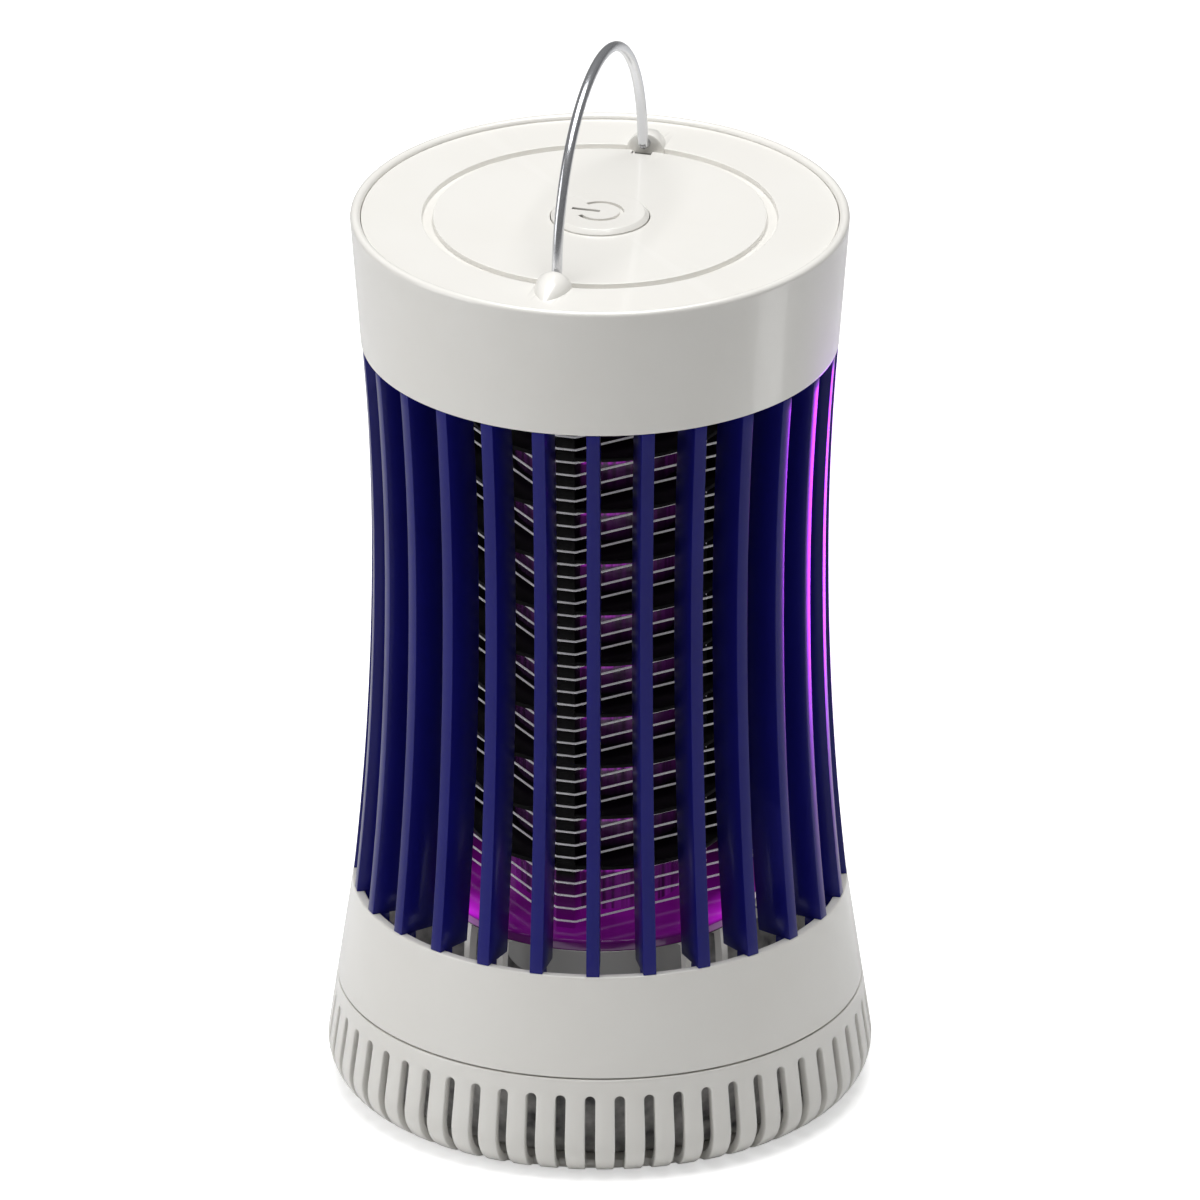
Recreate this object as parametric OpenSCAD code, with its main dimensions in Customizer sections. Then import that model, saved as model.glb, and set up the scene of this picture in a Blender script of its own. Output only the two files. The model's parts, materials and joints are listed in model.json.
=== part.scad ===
// Electric bug zapper: a waisted cage of upright fins between a round base and a round cap.
// The base stands on a slotted collection tray, the killing grid stands on a glowing disk,
// and a wire bail folds over the cap. Origin on the axis at the underside, +Z up, bail along Y.

/* [Base] */
// Height of the base, tray and shell together
base_h = 46.8; // [44:0.2:52]
// Height of the parting line between tray and shell
part_z = 23.9; // [22:0.1:26]
// Radius of the flat underside
foot_r = 50.5; // [48:0.1:52]
// Radius of the round edge under the tray
corner_r = 8.9; // [8:0.1:10]
// Outer radius of the rim that the fins stand on
rim_r = 54; // [53:0.1:56]
// Thickness of the moulded walls
wall = 2; // [1.6:0.1:2.4]
// How far the upper unit lifts to come off the tray
lift = 30; // [20:1:60]

/* [Tray slots] */
// Number of slots around the tray
slot_count = 56; // [24:1:64]
// Width of a slot
slot_w = 2.3; // [1.5:0.1:3]
// Height of the round top of a slot
slot_top = 20; // [14:0.1:20.5]

/* [Fins] */
// Tangential thickness of a fin
fin_t = 2.9; // [2:0.1:4]
// Radial depth of a fin
fin_depth = 8.7; // [6:0.1:9]
// Outer radius at the waist
waist_r = 49.8; // [48:0.1:52]
// Height of the waist
waist_z = 124; // [100:1:150]
// Radius of the hollow curve below the waist
low_arc_r = 730; // [650:10:900]
// Radius of the hollow curve above the waist
high_arc_r = 600; // [450:10:900]

/* [Cap] */
// Height of the underside of the cap
cap_z = 174.9; // [170:0.1:180]
// Height of the cap from its underside to the top of its lip
cap_h = 30.2; // [28:0.1:36]
// Outer radius at the underside of the cap
cap_low_r = 52; // [51.5:0.1:53]
// Outer radius at the lip
cap_top_r = 54.3; // [53.5:0.1:55]
// Radius of the rounded lip
lip_r = 1.1; // [0.8:0.1:1.2]
// Depth of the top plate below the lip
plate_drop = 1; // [0.5:0.1:2]
// Outer radius of the ring groove in the top plate
groove_r = 38.7; // [37:0.1:39.5]
// Width of the ring groove
groove_w = 2.4; // [1:0.1:3]

/* [Button] */
// Radius of the power button at the plate
button_r = 10.7; // [8:0.1:12]
// Height of the button above the plate
button_h = 1.15; // [0.8:0.05:2]
// Travel of the button
button_travel = 0.6; // [0.3:0.1:0.6]

/* [Bail] */
// Diameter of the bail wire
bail_d = 2.3; // [1.8:0.1:2.4]
// Radius of the bail's centre line
bail_r = 36; // [34:0.1:36.2]
// Height of the bail pivot above the plate
pivot_up = 1.15; // [1.1:0.05:1.3]

/* [Grid] */
// Distance from the axis to a face of the grid
face_r = 22.2; // [21:0.1:22.6]
// Distance from the axis to a cut-off corner of the grid
edge_r = 29.1; // [28:0.1:29.5]
// Spacing of the grid wires
wire_pitch = 3.045; // [2.8:0.005:3.1]
// Thickness of a grid wire
wire_t = 0.56; // [0.4:0.02:0.7]
// Radius of the spacer discs
spacer_r = 28.9; // [26:0.1:29]
// Radius of the glowing disk
disk_r = 34.9; // [33:0.1:36]

/* [Hidden] */
$fn = 96;
fin_count = 27;
fin_names = [for (i = [1:fin_count]) str("fin_", i < 10 ? "0" : "", i)];
eps = 0.01;

// side of the base: a cone that runs tangent into the round lower edge
seam = 0.3;
side_a = 8.25;
function side_r(z, inset = 0) =
    foot_r + (corner_r - inset) / cos(side_a) - (z - corner_r) * tan(side_a);
rim_side = rim_r - wall;

// glowing disk and its carrier
disk_t = 2.8;
disk_top = base_h;
disk_low = disk_top - disk_t;
leg_w = 2;
leg_t = 1.8;
spoke_z = part_z + 2.1;
spoke_t = 2.4;
leg_in = 32.6;
leg_bow = 60;
leg_pair = 57.5;
leg_spread = 8.5;
leg_angles = [for (k = [0:3]) for (s = [-1, 1]) leg_pair + 90 * k + s * leg_spread];
pedestal_r = 20.5;
pedestal_low = 29;
pedestal_t = 1.6;

// fin rings
ledge_z = 39;
ledge_t = 2;
ring_low_z = ledge_z + ledge_t;
ring_low_top = 44.6;
ring_w = 2.1;
ring_high_t = 3.1;
ring_high_in = 43.5;
ring_high_out = 49.7;

// cap interior
cap_top = cap_z + cap_h;
plate_z = cap_top - plate_drop;
plate_t = 2.6;
plate_low = plate_z - plate_t;
plate_r = cap_top_r - 2 * lip_r - 0.15;
flange_z = cap_z + 6.1;
flange_t = 2;
flange_top = flange_z + flange_t;
flange_in = 41.5;
floor_r = 43.3;
floor_t = 2.5;
floor_top = cap_z + floor_t;
screw_r = 46.4;
floor_screw_r = 39;
screw_angles = [45, 135, 225, 315];

// top plate features
groove_d = 1.2;
boss_in = 38;
boss_len = 10;
boss_w = 8.4;
boss_up = 3.3;
recess_x = 4.4;
recess_y = 3.7;
recess_d = 1.6;
pivot_z = plate_z + pivot_up;
pin_end = 41.2;
bore_d = bail_d + 0.1;

// button stack
button_top = plate_z + button_h;
button_bevel = 0.9;
hole_gap = 0.2;
skirt_r = 12.2;
skirt_z = plate_low - 1.2;
board_t = 1.5;
switch_z = skirt_z - 3.8;
plunger_r = 1.7;
post_x = 16.5;

// grid levels
wire_first = disk_top + 1.3;
wire_count = 41;
grid_top = 172;
spacer_step = 4;
spacer_t = 1;
spacer_gap = 0.1;
post_w = 4.2;
post_in = 24.6;
tube_r = 18.5;
tube_t = 1.5;
column_w = 11;
strip_t = 0.8;
led_w = 2.8;
led_t = 0.7;
function wire_z(i) = wire_first + i * wire_pitch;
spacer_levels = [for (i = [spacer_step:spacer_step:wire_count - 1]) wire_z(i) + wire_t + spacer_gap];

// electronics in the cap
pcb_z = flange_top;
pcb_r = 39;
cell_d = 18.4;
cell_len = 65;
cell_y = -14.5;
cell_z = floor_top + 0.6 + cell_d / 2;
socket_w = 9;
socket_h = 3.2;
socket_z = pcb_z + board_t;
lead_x = 26.6;
lead_d = 1.6;

module ring(r_out, r_in, h) {
    difference() {
        cylinder(r = r_out, h = h);
        translate([0, 0, -1]) cylinder(r = r_in, h = h + 2);
    }
}

function arc_points(centre, r, from, to, steps) = [
    for (i = [0:steps]) let (a = from + (to - from) * i / steps) centre + r * [cos(a), sin(a)]
];

// outline of the base in the half plane, drawn in by inset
module base_outline(inset) {
    edge = arc_points([foot_r, corner_r], corner_r - inset, -90, side_a, 8);
    polygon(concat([[0, inset]], edge, [[side_r(base_h, inset), base_h], [0, base_h]]));
}

module slot_cutter() {
    slot_in = foot_r + 1.5;
    translate([slot_in, 0, 0]) rotate([90, 0, 90]) linear_extrude(height = 12) {
        translate([-slot_w / 2, -1]) square([slot_w, slot_top - slot_w / 2 + 1]);
        translate([0, slot_top - slot_w / 2]) circle(d = slot_w);
    }
}

module tray_shell() {
    rim_z = part_z - seam / 2;
    color("ivory") difference() {
        rotate_extrude() intersection() {
            difference() {
                base_outline(0);
                base_outline(wall);
            }
            square([80, rim_z]);
        }
        for (i = [0:slot_count - 1]) rotate([0, 0, -90 + i * 360 / slot_count]) slot_cutter();
    }
}

module tray_cup() {
    cup_low_r = 48.6;
    cup_top_r = 52.6;
    cup_t = 1.2;
    cup_top = 19.4;
    color("dimgray") rotate_extrude() polygon([
        [0, wall], [cup_low_r, wall], [cup_top_r, cup_top], [cup_top_r - cup_t, cup_top],
        [cup_low_r - cup_t, wall + cup_t], [0, wall + cup_t]
    ]);
}

module base_shell() {
    low_z = part_z + seam / 2;
    spigot_out = 54.9;
    spigot_t = 1.6;
    spigot_low = slot_top - 0.1;
    color("ivory") difference() {
        rotate_extrude() {
            polygon([
                [side_r(low_z), low_z], [rim_r, base_h], [rim_side, base_h],
                [rim_side, ring_low_z], [ring_low_in(), ring_low_z], [ring_low_in(), ledge_z],
                [side_r(ledge_z, wall), ledge_z], [side_r(spoke_z, wall), spoke_z],
                [spigot_out - spigot_t, spoke_z], [spigot_out - spigot_t, spigot_low],
                [spigot_out, spigot_low], [spigot_out, low_z]
            ]);
        }
        for (a = screw_angles) rotate([0, 0, a]) translate([rim_side - ring_w / 2, 0, ledge_z - 1])
            cylinder(d = 1.3, h = ledge_t + 2, $fn = 24);
    }
}
function ring_low_in() = rim_side - ring_w - 0.9;

module disk_carrier() {
    carrier_r = 31.2;
    carrier_in = 28.4;
    carrier_t = 1.6;
    stub_in = carrier_r - 0.6;
    stub_out = leg_in + 0.6;
    leg_mid = (disk_low + spoke_z) / 2;
    leg_half = (disk_low - spoke_z) / 2;
    bow_centre = leg_in + leg_t - sqrt(leg_bow * leg_bow - leg_half * leg_half);
    spoke_out = side_r(spoke_z + spoke_t, wall) - 0.05;
    color("white") {
        translate([0, 0, disk_low - carrier_t]) ring(carrier_r, carrier_in, carrier_t);
        translate([0, 0, spoke_z]) ring(spoke_out, spoke_out - 3, spoke_t);
        for (a = leg_angles) rotate([0, 0, a]) {
            translate([0, leg_w / 2, 0]) rotate([90, 0, 0]) linear_extrude(height = leg_w) intersection() {
                translate([bow_centre, leg_mid]) difference() {
                    circle(r = leg_bow, $fn = 180);
                    circle(r = leg_bow - leg_t, $fn = 180);
                }
                translate([0, spoke_z]) square([80, disk_low - spoke_z]);
            }
            translate([leg_in + 0.4, -leg_w / 2, spoke_z]) cube([spoke_out - leg_in - 2, leg_w, spoke_t]);
            translate([stub_in, -leg_w / 2, disk_low - carrier_t])
                cube([stub_out - stub_in, leg_w, carrier_t]);
        }
    }
}

// cup under the middle of the disk, open towards the tray
module disk_pedestal() {
    color("silver") difference() {
        translate([0, 0, pedestal_low]) cylinder(r = pedestal_r, h = disk_low - pedestal_low);
        translate([0, 0, pedestal_low - 1])
            cylinder(r = pedestal_r - pedestal_t, h = disk_low - pedestal_t - pedestal_low + 1);
    }
}

module glow_disk() {
    color("purple") translate([0, 0, disk_low]) cylinder(r = disk_r, h = disk_t);
}

module lower_fin_ring() {
    color("midnightblue") difference() {
        translate([0, 0, ring_low_z]) ring(rim_side - 0.05, rim_side - ring_w, ring_low_top - ring_low_z);
        for (a = screw_angles) rotate([0, 0, a]) translate([rim_side - ring_w / 2, 0, ring_low_z - 1])
            cylinder(d = 1.1, h = 4, $fn = 24);
    }
}

module upper_fin_ring() {
    boss_d = 6;
    color("midnightblue") difference() {
        union() {
            translate([0, 0, cap_z]) ring(ring_high_out, ring_high_in, ring_high_t);
            for (a = screw_angles) rotate([0, 0, a]) translate([screw_r, 0, cap_z])
                cylinder(d = boss_d, h = flange_z - cap_z);
        }
        for (a = screw_angles) rotate([0, 0, a]) translate([screw_r, 0, cap_z + 1])
            cylinder(d = 2, h = flange_z - cap_z, $fn = 24);
    }
}

// one side of the fin in the half plane: a band that follows the hollow curve
module fin_band(arc_r, low_z, high_z) {
    intersection() {
        translate([waist_r + arc_r, waist_z]) difference() {
            circle(r = arc_r + fin_depth, $fn = 360);
            circle(r = arc_r, $fn = 360);
        }
        translate([0, low_z]) square([waist_r + 20, high_z - low_z]);
    }
}

module fin(i) {
    color("midnightblue") rotate([0, 0, -90 + (i - 1) * 360 / fin_count]) translate([0, fin_t / 2, 0])
        rotate([90, 0, 0]) linear_extrude(height = fin_t) {
            fin_band(low_arc_r, base_h, waist_z);
            fin_band(high_arc_r, waist_z, cap_z);
            translate([rim_side - ring_w, ring_low_top])
                square([ring_w - 0.05, base_h - ring_low_top + eps]);
        }
}

module grid_posts() {
    tooth_gap = wire_t + 0.1;
    color("black") for (k = [0:3]) rotate([0, 0, 90 * k]) translate([0, post_w / 2, 0]) rotate([90, 0, 0])
        linear_extrude(height = post_w) difference() {
            translate([post_in, disk_top]) square([edge_r - post_in, grid_top - disk_top]);
            for (i = [0:wire_count - 1])
                translate([edge_r - tooth_gap, wire_z(i) - 0.05]) square([2, tooth_gap]);
        }
}

module spacer_discs() {
    color("black") for (z = spacer_levels) difference() {
        translate([0, 0, z]) ring(spacer_r, tube_r + 0.05, spacer_t);
        for (k = [0:3]) rotate([0, 0, 90 * k]) translate([post_in, -post_w / 2, z - 1])
            cube([10, post_w, spacer_t + 2]);
    }
}

module grid_outline(inset) {
    intersection() {
        rotate(45) square(2 * (face_r - inset), center = true);
        square(2 * (edge_r - inset), center = true);
    }
}

module grid_loops(first) {
    for (i = [first:2:wire_count - 1]) translate([0, 0, wire_z(i)])
        linear_extrude(height = wire_t) difference() {
        grid_outline(0);
        grid_outline(wire_t);
    }
}

module live_grid() {
    color("silver") grid_loops(0);
}

module ground_grid() {
    color("lightgray") grid_loops(1);
}

module grid_top_plate() {
    color("black") difference() {
        translate([0, 0, grid_top]) cylinder(r = disk_r, h = cap_z - grid_top);
        for (s = [-1, 1]) translate([s * lead_x, 0, grid_top - 1])
            cylinder(d = lead_d + 0.2, h = 10, $fn = 24);
    }
}

module lamp_tube() {
    color("mediumorchid") translate([0, 0, disk_top]) ring(tube_r, tube_r - tube_t, grid_top - disk_top);
}

module led_column() {
    color("silver") difference() {
        translate([-column_w / 2, -column_w / 2, disk_top]) cube([column_w, column_w, grid_top - disk_top]);
        translate([0, 0, disk_top - 1]) cylinder(d = column_w - 4, h = grid_top - disk_top + 2);
    }
}

module led_strips() {
    strip_w = 8;
    color("green") for (k = [0:3]) rotate([0, 0, 90 * k])
        translate([column_w / 2, -strip_w / 2, disk_top + 2])
            cube([strip_t, strip_w, grid_top - disk_top - 4]);
}

module uv_leds() {
    led_levels = [for (i = [2:spacer_step:wire_count - 2]) wire_z(i)];
    color("violet") for (k = [0:3]) rotate([0, 0, 90 * k]) for (z = led_levels)
        translate([column_w / 2 + strip_t, -led_w / 2, z - led_w / 2]) cube([led_t, led_w, led_w]);
}

module cap_floor() {
    standoff_top = pcb_z;
    cradle_x = 24;
    cradle_t = 2.4;
    cradle_w = 16;
    cradle_h = 5;
    color("ivory") difference() {
        union() {
            translate([0, 0, cap_z]) cylinder(r = floor_r, h = floor_t);
            translate([0, 0, floor_top]) ring(floor_r, flange_in, flange_z - floor_top);
            for (p = [[-28, 4], [28, 4], [-14, 33], [14, 33]]) translate([p[0], p[1], floor_top])
                cylinder(d = 5, h = standoff_top - floor_top);
            for (s = [-1, 1]) translate([s * cradle_x - cradle_t / 2, cell_y - cradle_w / 2, floor_top])
                cube([cradle_t, cradle_w, cradle_h]);
        }
        translate([-cell_len, cell_y, cell_z]) rotate([0, 90, 0])
            cylinder(d = cell_d + 0.2, h = 2 * cell_len);
        for (a = screw_angles) rotate([0, 0, a]) translate([floor_screw_r, 0, cap_z - 1])
            cylinder(d = 2.6, h = floor_t + 2, $fn = 24);
        for (s = [-1, 1]) translate([s * lead_x, 0, cap_z - 1])
            cylinder(d = lead_d + 0.2, h = floor_t + 2, $fn = 24);
    }
}

module cap_shell() {
    lip_z = cap_top - lip_r;
    lug_d = 7;
    color("ivory") difference() {
        union() {
            rotate_extrude() {
                polygon([
                    [cap_low_r - wall, cap_z], [cap_low_r, cap_z], [cap_top_r, lip_z],
                    [cap_top_r - 2 * lip_r, lip_z], [cap_top_r - 2 * lip_r, plate_low],
                    [cap_top_r - wall - 1.4, plate_low], [cap_low_r - wall + 0.5, flange_top],
                    [flange_in, flange_top], [flange_in, flange_z], [cap_low_r - wall, flange_z]
                ]);
                translate([cap_top_r - lip_r, lip_z]) circle(r = lip_r);
            }
            for (a = screw_angles) rotate([0, 0, a]) translate([floor_screw_r, 0, floor_top])
                cylinder(d = 5, h = flange_top - floor_top);
            for (a = screw_angles) rotate([0, 0, a]) translate([floor_screw_r, -2.5, flange_z])
                cube([3, 5, flange_t]);
        }
        for (a = screw_angles) rotate([0, 0, a]) {
            translate([screw_r, 0, flange_z - 1]) cylinder(d = 2.6, h = flange_t + 2, $fn = 24);
            translate([floor_screw_r, 0, floor_top - 1]) cylinder(d = 2, h = 6, $fn = 24);
        }
        translate([-socket_w / 2 - 0.2, 45, socket_z - 0.2]) cube([socket_w + 0.4, 12, socket_h + 0.4]);
    }
}

// bullet-shaped boss that takes one end of the bail
module bail_boss() {
    half_w = boss_w / 2;
    arc = (boss_len * boss_len + half_w * half_w) / boss_w;
    translate([0, boss_in, plate_z + boss_up - half_w]) rotate([-90, 0, 0])
        rotate_extrude() intersection() {
        translate([half_w - arc, 0]) circle(r = arc);
        square([half_w, boss_len]);
    }
}

module top_plate() {
    color("ivory") difference() {
        union() {
            translate([0, 0, plate_low]) cylinder(r = plate_r, h = plate_t);
            for (s = [0, 180]) rotate([0, 0, s]) intersection() {
                bail_boss();
                translate([-10, 30, plate_z - 1]) cube([20, 30, 10]);
            }
            for (s = [-1, 1]) translate([s * post_x, 0, switch_z + board_t])
                cylinder(d = 5, h = plate_low - switch_z - board_t);
        }
        translate([0, 0, plate_z - groove_d]) ring(groove_r, groove_r - groove_w, 5 * groove_d);
        translate([0, 0, plate_low - 1]) cylinder(r = button_r + hole_gap, h = plate_t + 2);
        for (s = [0, 180]) rotate([0, 0, s]) {
            translate([-recess_x / 2, boss_in - recess_y, plate_z - recess_d])
                cube([recess_x, recess_y, 10]);
            translate([0, boss_in - 1, pivot_z]) rotate([-90, 0, 0])
                cylinder(d = bore_d, h = pin_end - boss_in + 1.3);
        }
    }
}

module driver_board() {
    color("darkgreen") difference() {
        union() {
            translate([0, 0, pcb_z]) intersection() {
                cylinder(r = pcb_r, h = board_t);
                translate([-50, -2, 0]) cube([100, 60, board_t]);
            }
            translate([-8, 30, pcb_z]) cube([16, 19, board_t]);
        }
        for (s = [-1, 1]) translate([s * lead_x, 0, pcb_z - 1]) cylinder(d = lead_d, h = 4, $fn = 24);
    }
}

module transformer() {
    core = [16, 13, 12];
    at = [-24, 10, pcb_z + board_t];
    color("goldenrod") translate(at) {
        difference() {
            cube(core);
            translate([3, -1, 3]) cube([core[0] - 6, core[1] + 2, core[2] - 6]);
        }
        translate([3, 1, 3]) cube([core[0] - 6, core[1] - 2, core[2] - 6]);
    }
}

module hv_capacitor() {
    body = [17, 7, 11];
    color("firebrick") translate([4, 12, pcb_z + board_t]) cube(body);
}

module battery_cell() {
    tip_d = 6;
    color("steelblue") translate([-cell_len / 2, cell_y, cell_z]) rotate([0, 90, 0]) {
        cylinder(d = cell_d, h = cell_len - 1.5);
        cylinder(d = tip_d, h = cell_len);
    }
}

module grid_leads() {
    color("red") for (s = [-1, 1]) translate([s * lead_x, 0, grid_top])
        cylinder(d = lead_d, h = pcb_z + board_t - grid_top, $fn = 24);
}

module switch_board() {
    color("darkgreen") translate([-20, -6, switch_z]) cube([40, 12, board_t]);
}

module tact_switch() {
    body_w = 6;
    body_h = 1.5;
    color("dimgray") difference() {
        translate([-body_w / 2, -body_w / 2, switch_z + board_t]) cube([body_w, body_w, body_h]);
        translate([0, 0, switch_z + board_t + 0.2]) cylinder(r = plunger_r + 0.1, h = 5);
    }
}

module charge_socket() {
    shell_l = 8.6;
    tongue = [6.4, 5, 0.7];
    front_y = cap_low_r + 0.3;
    color("silver") translate([0, front_y, socket_z]) {
        difference() {
            translate([-socket_w / 2, -shell_l, 0]) cube([socket_w, shell_l, socket_h]);
            translate([-socket_w / 2 + 0.4, -shell_l + 1.5, 0.4])
                cube([socket_w - 0.8, shell_l, socket_h - 0.8]);
        }
        translate([-tongue[0] / 2, -shell_l + 1.5 - eps, (socket_h - tongue[2]) / 2]) cube(tongue);
    }
}

module screw(head_d, head_h, shank_d, shank_l) {
    difference() {
        cylinder(d = head_d, h = head_h);
        translate([-head_d / 4, -0.25, head_h - 0.5]) cube([head_d / 2, 0.5, 1]);
        translate([-0.25, -head_d / 4, head_h - 0.5]) cube([0.5, head_d / 2, 1]);
    }
    translate([0, 0, -shank_l]) cylinder(d = shank_d, h = shank_l + eps, $fn = 24);
}

module cap_screws() {
    color("gray") for (a = screw_angles) rotate([0, 0, a]) {
        translate([floor_screw_r, 0, cap_z]) mirror([0, 0, 1]) screw(4.6, 1.4, 2, 6.5);
        translate([screw_r, 0, flange_top]) screw(4.6, 1.4, 2, 6.5);
    }
}

module base_screws() {
    color("gray") for (a = screw_angles) rotate([0, 0, a]) translate([rim_side - ring_w / 2, 0, ledge_z])
        mirror([0, 0, 1]) screw(2.4, 1, 1.1, 4.8);
}

module power_button() {
    icon_d = 0.6;
    icon_r = 4.75;
    stroke = 1;
    gap_a = 40;
    bar_len = 6.3;
    color("ivory") difference() {
        union() {
            translate([0, 0, skirt_z]) cylinder(r = skirt_r, h = 1);
            translate([0, 0, skirt_z]) cylinder(r = button_r, h = plate_z - skirt_z + 0.2);
            translate([0, 0, plate_z + 0.2 - eps])
                cylinder(r1 = button_r, r2 = button_r - button_bevel, h = button_h - 0.2 + eps);
        }
        translate([0, 0, button_top - icon_d]) linear_extrude(height = 1) {
            difference() {
                circle(r = icon_r + stroke / 2);
                circle(r = icon_r - stroke / 2);
                polygon(concat([[0, 0]], arc_points([0, 0], 20, 180 - gap_a, 180 + gap_a, 2)));
            }
            translate([-bar_len, -stroke / 2]) square([bar_len, stroke]);
        }
    }
}

module switch_plunger() {
    color("black") translate([0, 0, switch_z + board_t + 0.9])
        cylinder(r = plunger_r, h = skirt_z - switch_z - board_t - 0.9);
}

module bail_handle() {
    knuckle_d = bail_d + 0.2;
    color("lightgray") translate([0, 0, pivot_z]) {
        rotate([90, 0, 90]) rotate_extrude(angle = 180) translate([bail_r, 0]) circle(d = bail_d);
        for (s = [-1, 1]) translate([0, s * bail_r, 0]) {
            sphere(d = knuckle_d);
            rotate([-90 * s, 0, 0]) cylinder(d = bail_d, h = pin_end - bail_r);
        }
    }
}

tray_shell();
tray_cup();
base_shell();
disk_carrier();
disk_pedestal();
glow_disk();
lower_fin_ring();
upper_fin_ring();
for (i = [1:fin_count]) fin(i);
grid_posts();
spacer_discs();
live_grid();
ground_grid();
grid_top_plate();
lamp_tube();
led_column();
led_strips();
uv_leds();
cap_floor();
cap_shell();
top_plate();
driver_board();
transformer();
hv_capacitor();
battery_cell();
grid_leads();
switch_board();
tact_switch();
charge_socket();
cap_screws();
base_screws();
power_button();
switch_plunger();
bail_handle();
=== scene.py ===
import json
import math
import bmesh
import bpy
from mathutils import Matrix, Vector


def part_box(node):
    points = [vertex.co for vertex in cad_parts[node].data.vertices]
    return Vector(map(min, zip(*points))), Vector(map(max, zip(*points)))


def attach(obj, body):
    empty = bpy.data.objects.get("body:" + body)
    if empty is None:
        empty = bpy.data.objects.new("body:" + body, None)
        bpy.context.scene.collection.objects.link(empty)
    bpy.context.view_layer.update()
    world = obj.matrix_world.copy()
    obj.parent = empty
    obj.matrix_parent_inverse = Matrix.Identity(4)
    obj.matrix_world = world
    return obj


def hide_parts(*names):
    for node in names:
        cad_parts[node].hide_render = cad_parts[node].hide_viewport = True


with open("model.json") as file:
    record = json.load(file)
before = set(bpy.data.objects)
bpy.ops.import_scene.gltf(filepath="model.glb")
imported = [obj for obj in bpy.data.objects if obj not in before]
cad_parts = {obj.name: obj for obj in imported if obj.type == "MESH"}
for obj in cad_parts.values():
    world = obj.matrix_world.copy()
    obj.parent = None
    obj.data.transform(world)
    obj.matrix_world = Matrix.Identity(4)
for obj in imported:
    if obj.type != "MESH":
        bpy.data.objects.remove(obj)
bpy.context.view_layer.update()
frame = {"nodes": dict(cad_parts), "record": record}
scene = bpy.context.scene
mm = 0.001               # every size below is in millimetres until it goes into a mesh
print("frame loaded with", len(frame["nodes"]), "nodes")


def lowOf(node):
    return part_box(node)[0][2] / mm


def topOf(node):
    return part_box(node)[1][2] / mm


def reachOf(node):
    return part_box(node)[1][0] / mm


# ---- node helpers, shared by every finish

def feed(tree, inputs, feeds):
    # links a socket, or sets a plain number or colour on the input itself
    for key, value in feeds.items():
        if isinstance(value, bpy.types.NodeSocket):
            tree.links.new(value, inputs[key])
        else:
            inputs[key].default_value = value


def place(tree, kind, feeds=None, **settings):
    made = tree.nodes.new(kind)
    for key, value in settings.items():
        setattr(made, key, value)
    feed(tree, made.inputs, feeds or {})
    return made


def mathOf(tree, operation, first, second=0.0, clamp=False):
    feeds = {0: first, 1: second}
    return place(tree, "ShaderNodeMath", feeds, operation=operation, use_clamp=clamp).outputs[0]


def blendOf(tree, share, first, second):
    return place(tree, "ShaderNodeMix", {0: share, 6: first, 7: second}, data_type="RGBA").outputs[2]


def spanOf(tree, value, low, high, newLow=0.0, newHigh=1.0):
    feeds = {"Value": value, "From Min": low, "From Max": high, "To Min": newLow, "To Max": newHigh}
    return place(tree, "ShaderNodeMapRange", feeds, clamp=True).outputs[0]


def noiseOf(tree, where, scale, detail):
    return place(tree, "ShaderNodeTexNoise", {"Vector": where, "Scale": scale, "Detail": detail}).outputs[0]


def whereOf(tree):
    return place(tree, "ShaderNodeTexCoord").outputs["Object"]


def axesOf(tree, vector):
    return place(tree, "ShaderNodeSeparateXYZ", {0: vector}).outputs


def upwardOf(tree):
    return axesOf(tree, place(tree, "ShaderNodeNewGeometry").outputs["Normal"])[2]


def makeGroup(name, inputs, outputs):
    tree = bpy.data.node_groups.new(name, "ShaderNodeTree")
    for label, start in inputs.items():
        kind = "NodeSocketColor" if isinstance(start, tuple) else "NodeSocketFloat"
        tree.interface.new_socket(name=label, in_out="INPUT", socket_type=kind).default_value = start
    for label, kind in outputs.items():
        tree.interface.new_socket(name=label, in_out="OUTPUT", socket_type=kind)
    return tree, tree.nodes.new("NodeGroupInput").outputs, tree.nodes.new("NodeGroupOutput").inputs


def newMaterial(name):
    material = bpy.data.materials.new(name)
    material.use_nodes = True
    return material, material.node_tree, material.node_tree.nodes["Principled BSDF"]


def tone(red, green, blue):
    return (red, green, blue, 1.0)


# each span holds the value where an effect starts and the value where it is full; the two corner spans set a
# painted highlight on outer corners and a painted shade in inner corners
effects = {"cloudSpan": (0.35, 0.7), "highlightSpan": (0.53, 0.62), "cornerShadeSpan": (0.48, 0.41),
           "dustFacing": (0.2, 0.9), "dustSpan": (0.45, 0.7), "dustScale": 700.0, "dustRoughness": 0.4,
           "grainDepth": 0.0001}


def makeMouldedSkin():
    # slow clouds of colour, a fine moulding grain and a roughness that wanders with both
    tree, given, out = makeGroup(
        "mouldedSkin",
        {"Colour": tone(0.8, 0.8, 0.8), "Deep Colour": tone(0.6, 0.6, 0.6), "Cloud Scale": 40.0,
         "Cloud Amount": 0.5, "Grain Scale": 2500.0, "Roughness": 0.3, "Roughness Spread": 0.1},
        {"Colour": "NodeSocketColor", "Roughness": "NodeSocketFloat", "Height": "NodeSocketFloat"})
    where = whereOf(tree)
    cloud = noiseOf(tree, where, given["Cloud Scale"], 3.0)
    grain = noiseOf(tree, where, given["Grain Scale"], 2.0)
    share = mathOf(tree, "MULTIPLY", spanOf(tree, cloud, *effects["cloudSpan"]), given["Cloud Amount"])
    wander = mathOf(tree, "MULTIPLY", mathOf(tree, "SUBTRACT", cloud, 0.5), given["Roughness Spread"])
    tree.links.new(blendOf(tree, share, given["Colour"], given["Deep Colour"]), out["Colour"])
    tree.links.new(mathOf(tree, "ADD", given["Roughness"], wander, clamp=True), out["Roughness"])
    tree.links.new(grain, out["Height"])
    return tree


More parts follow.
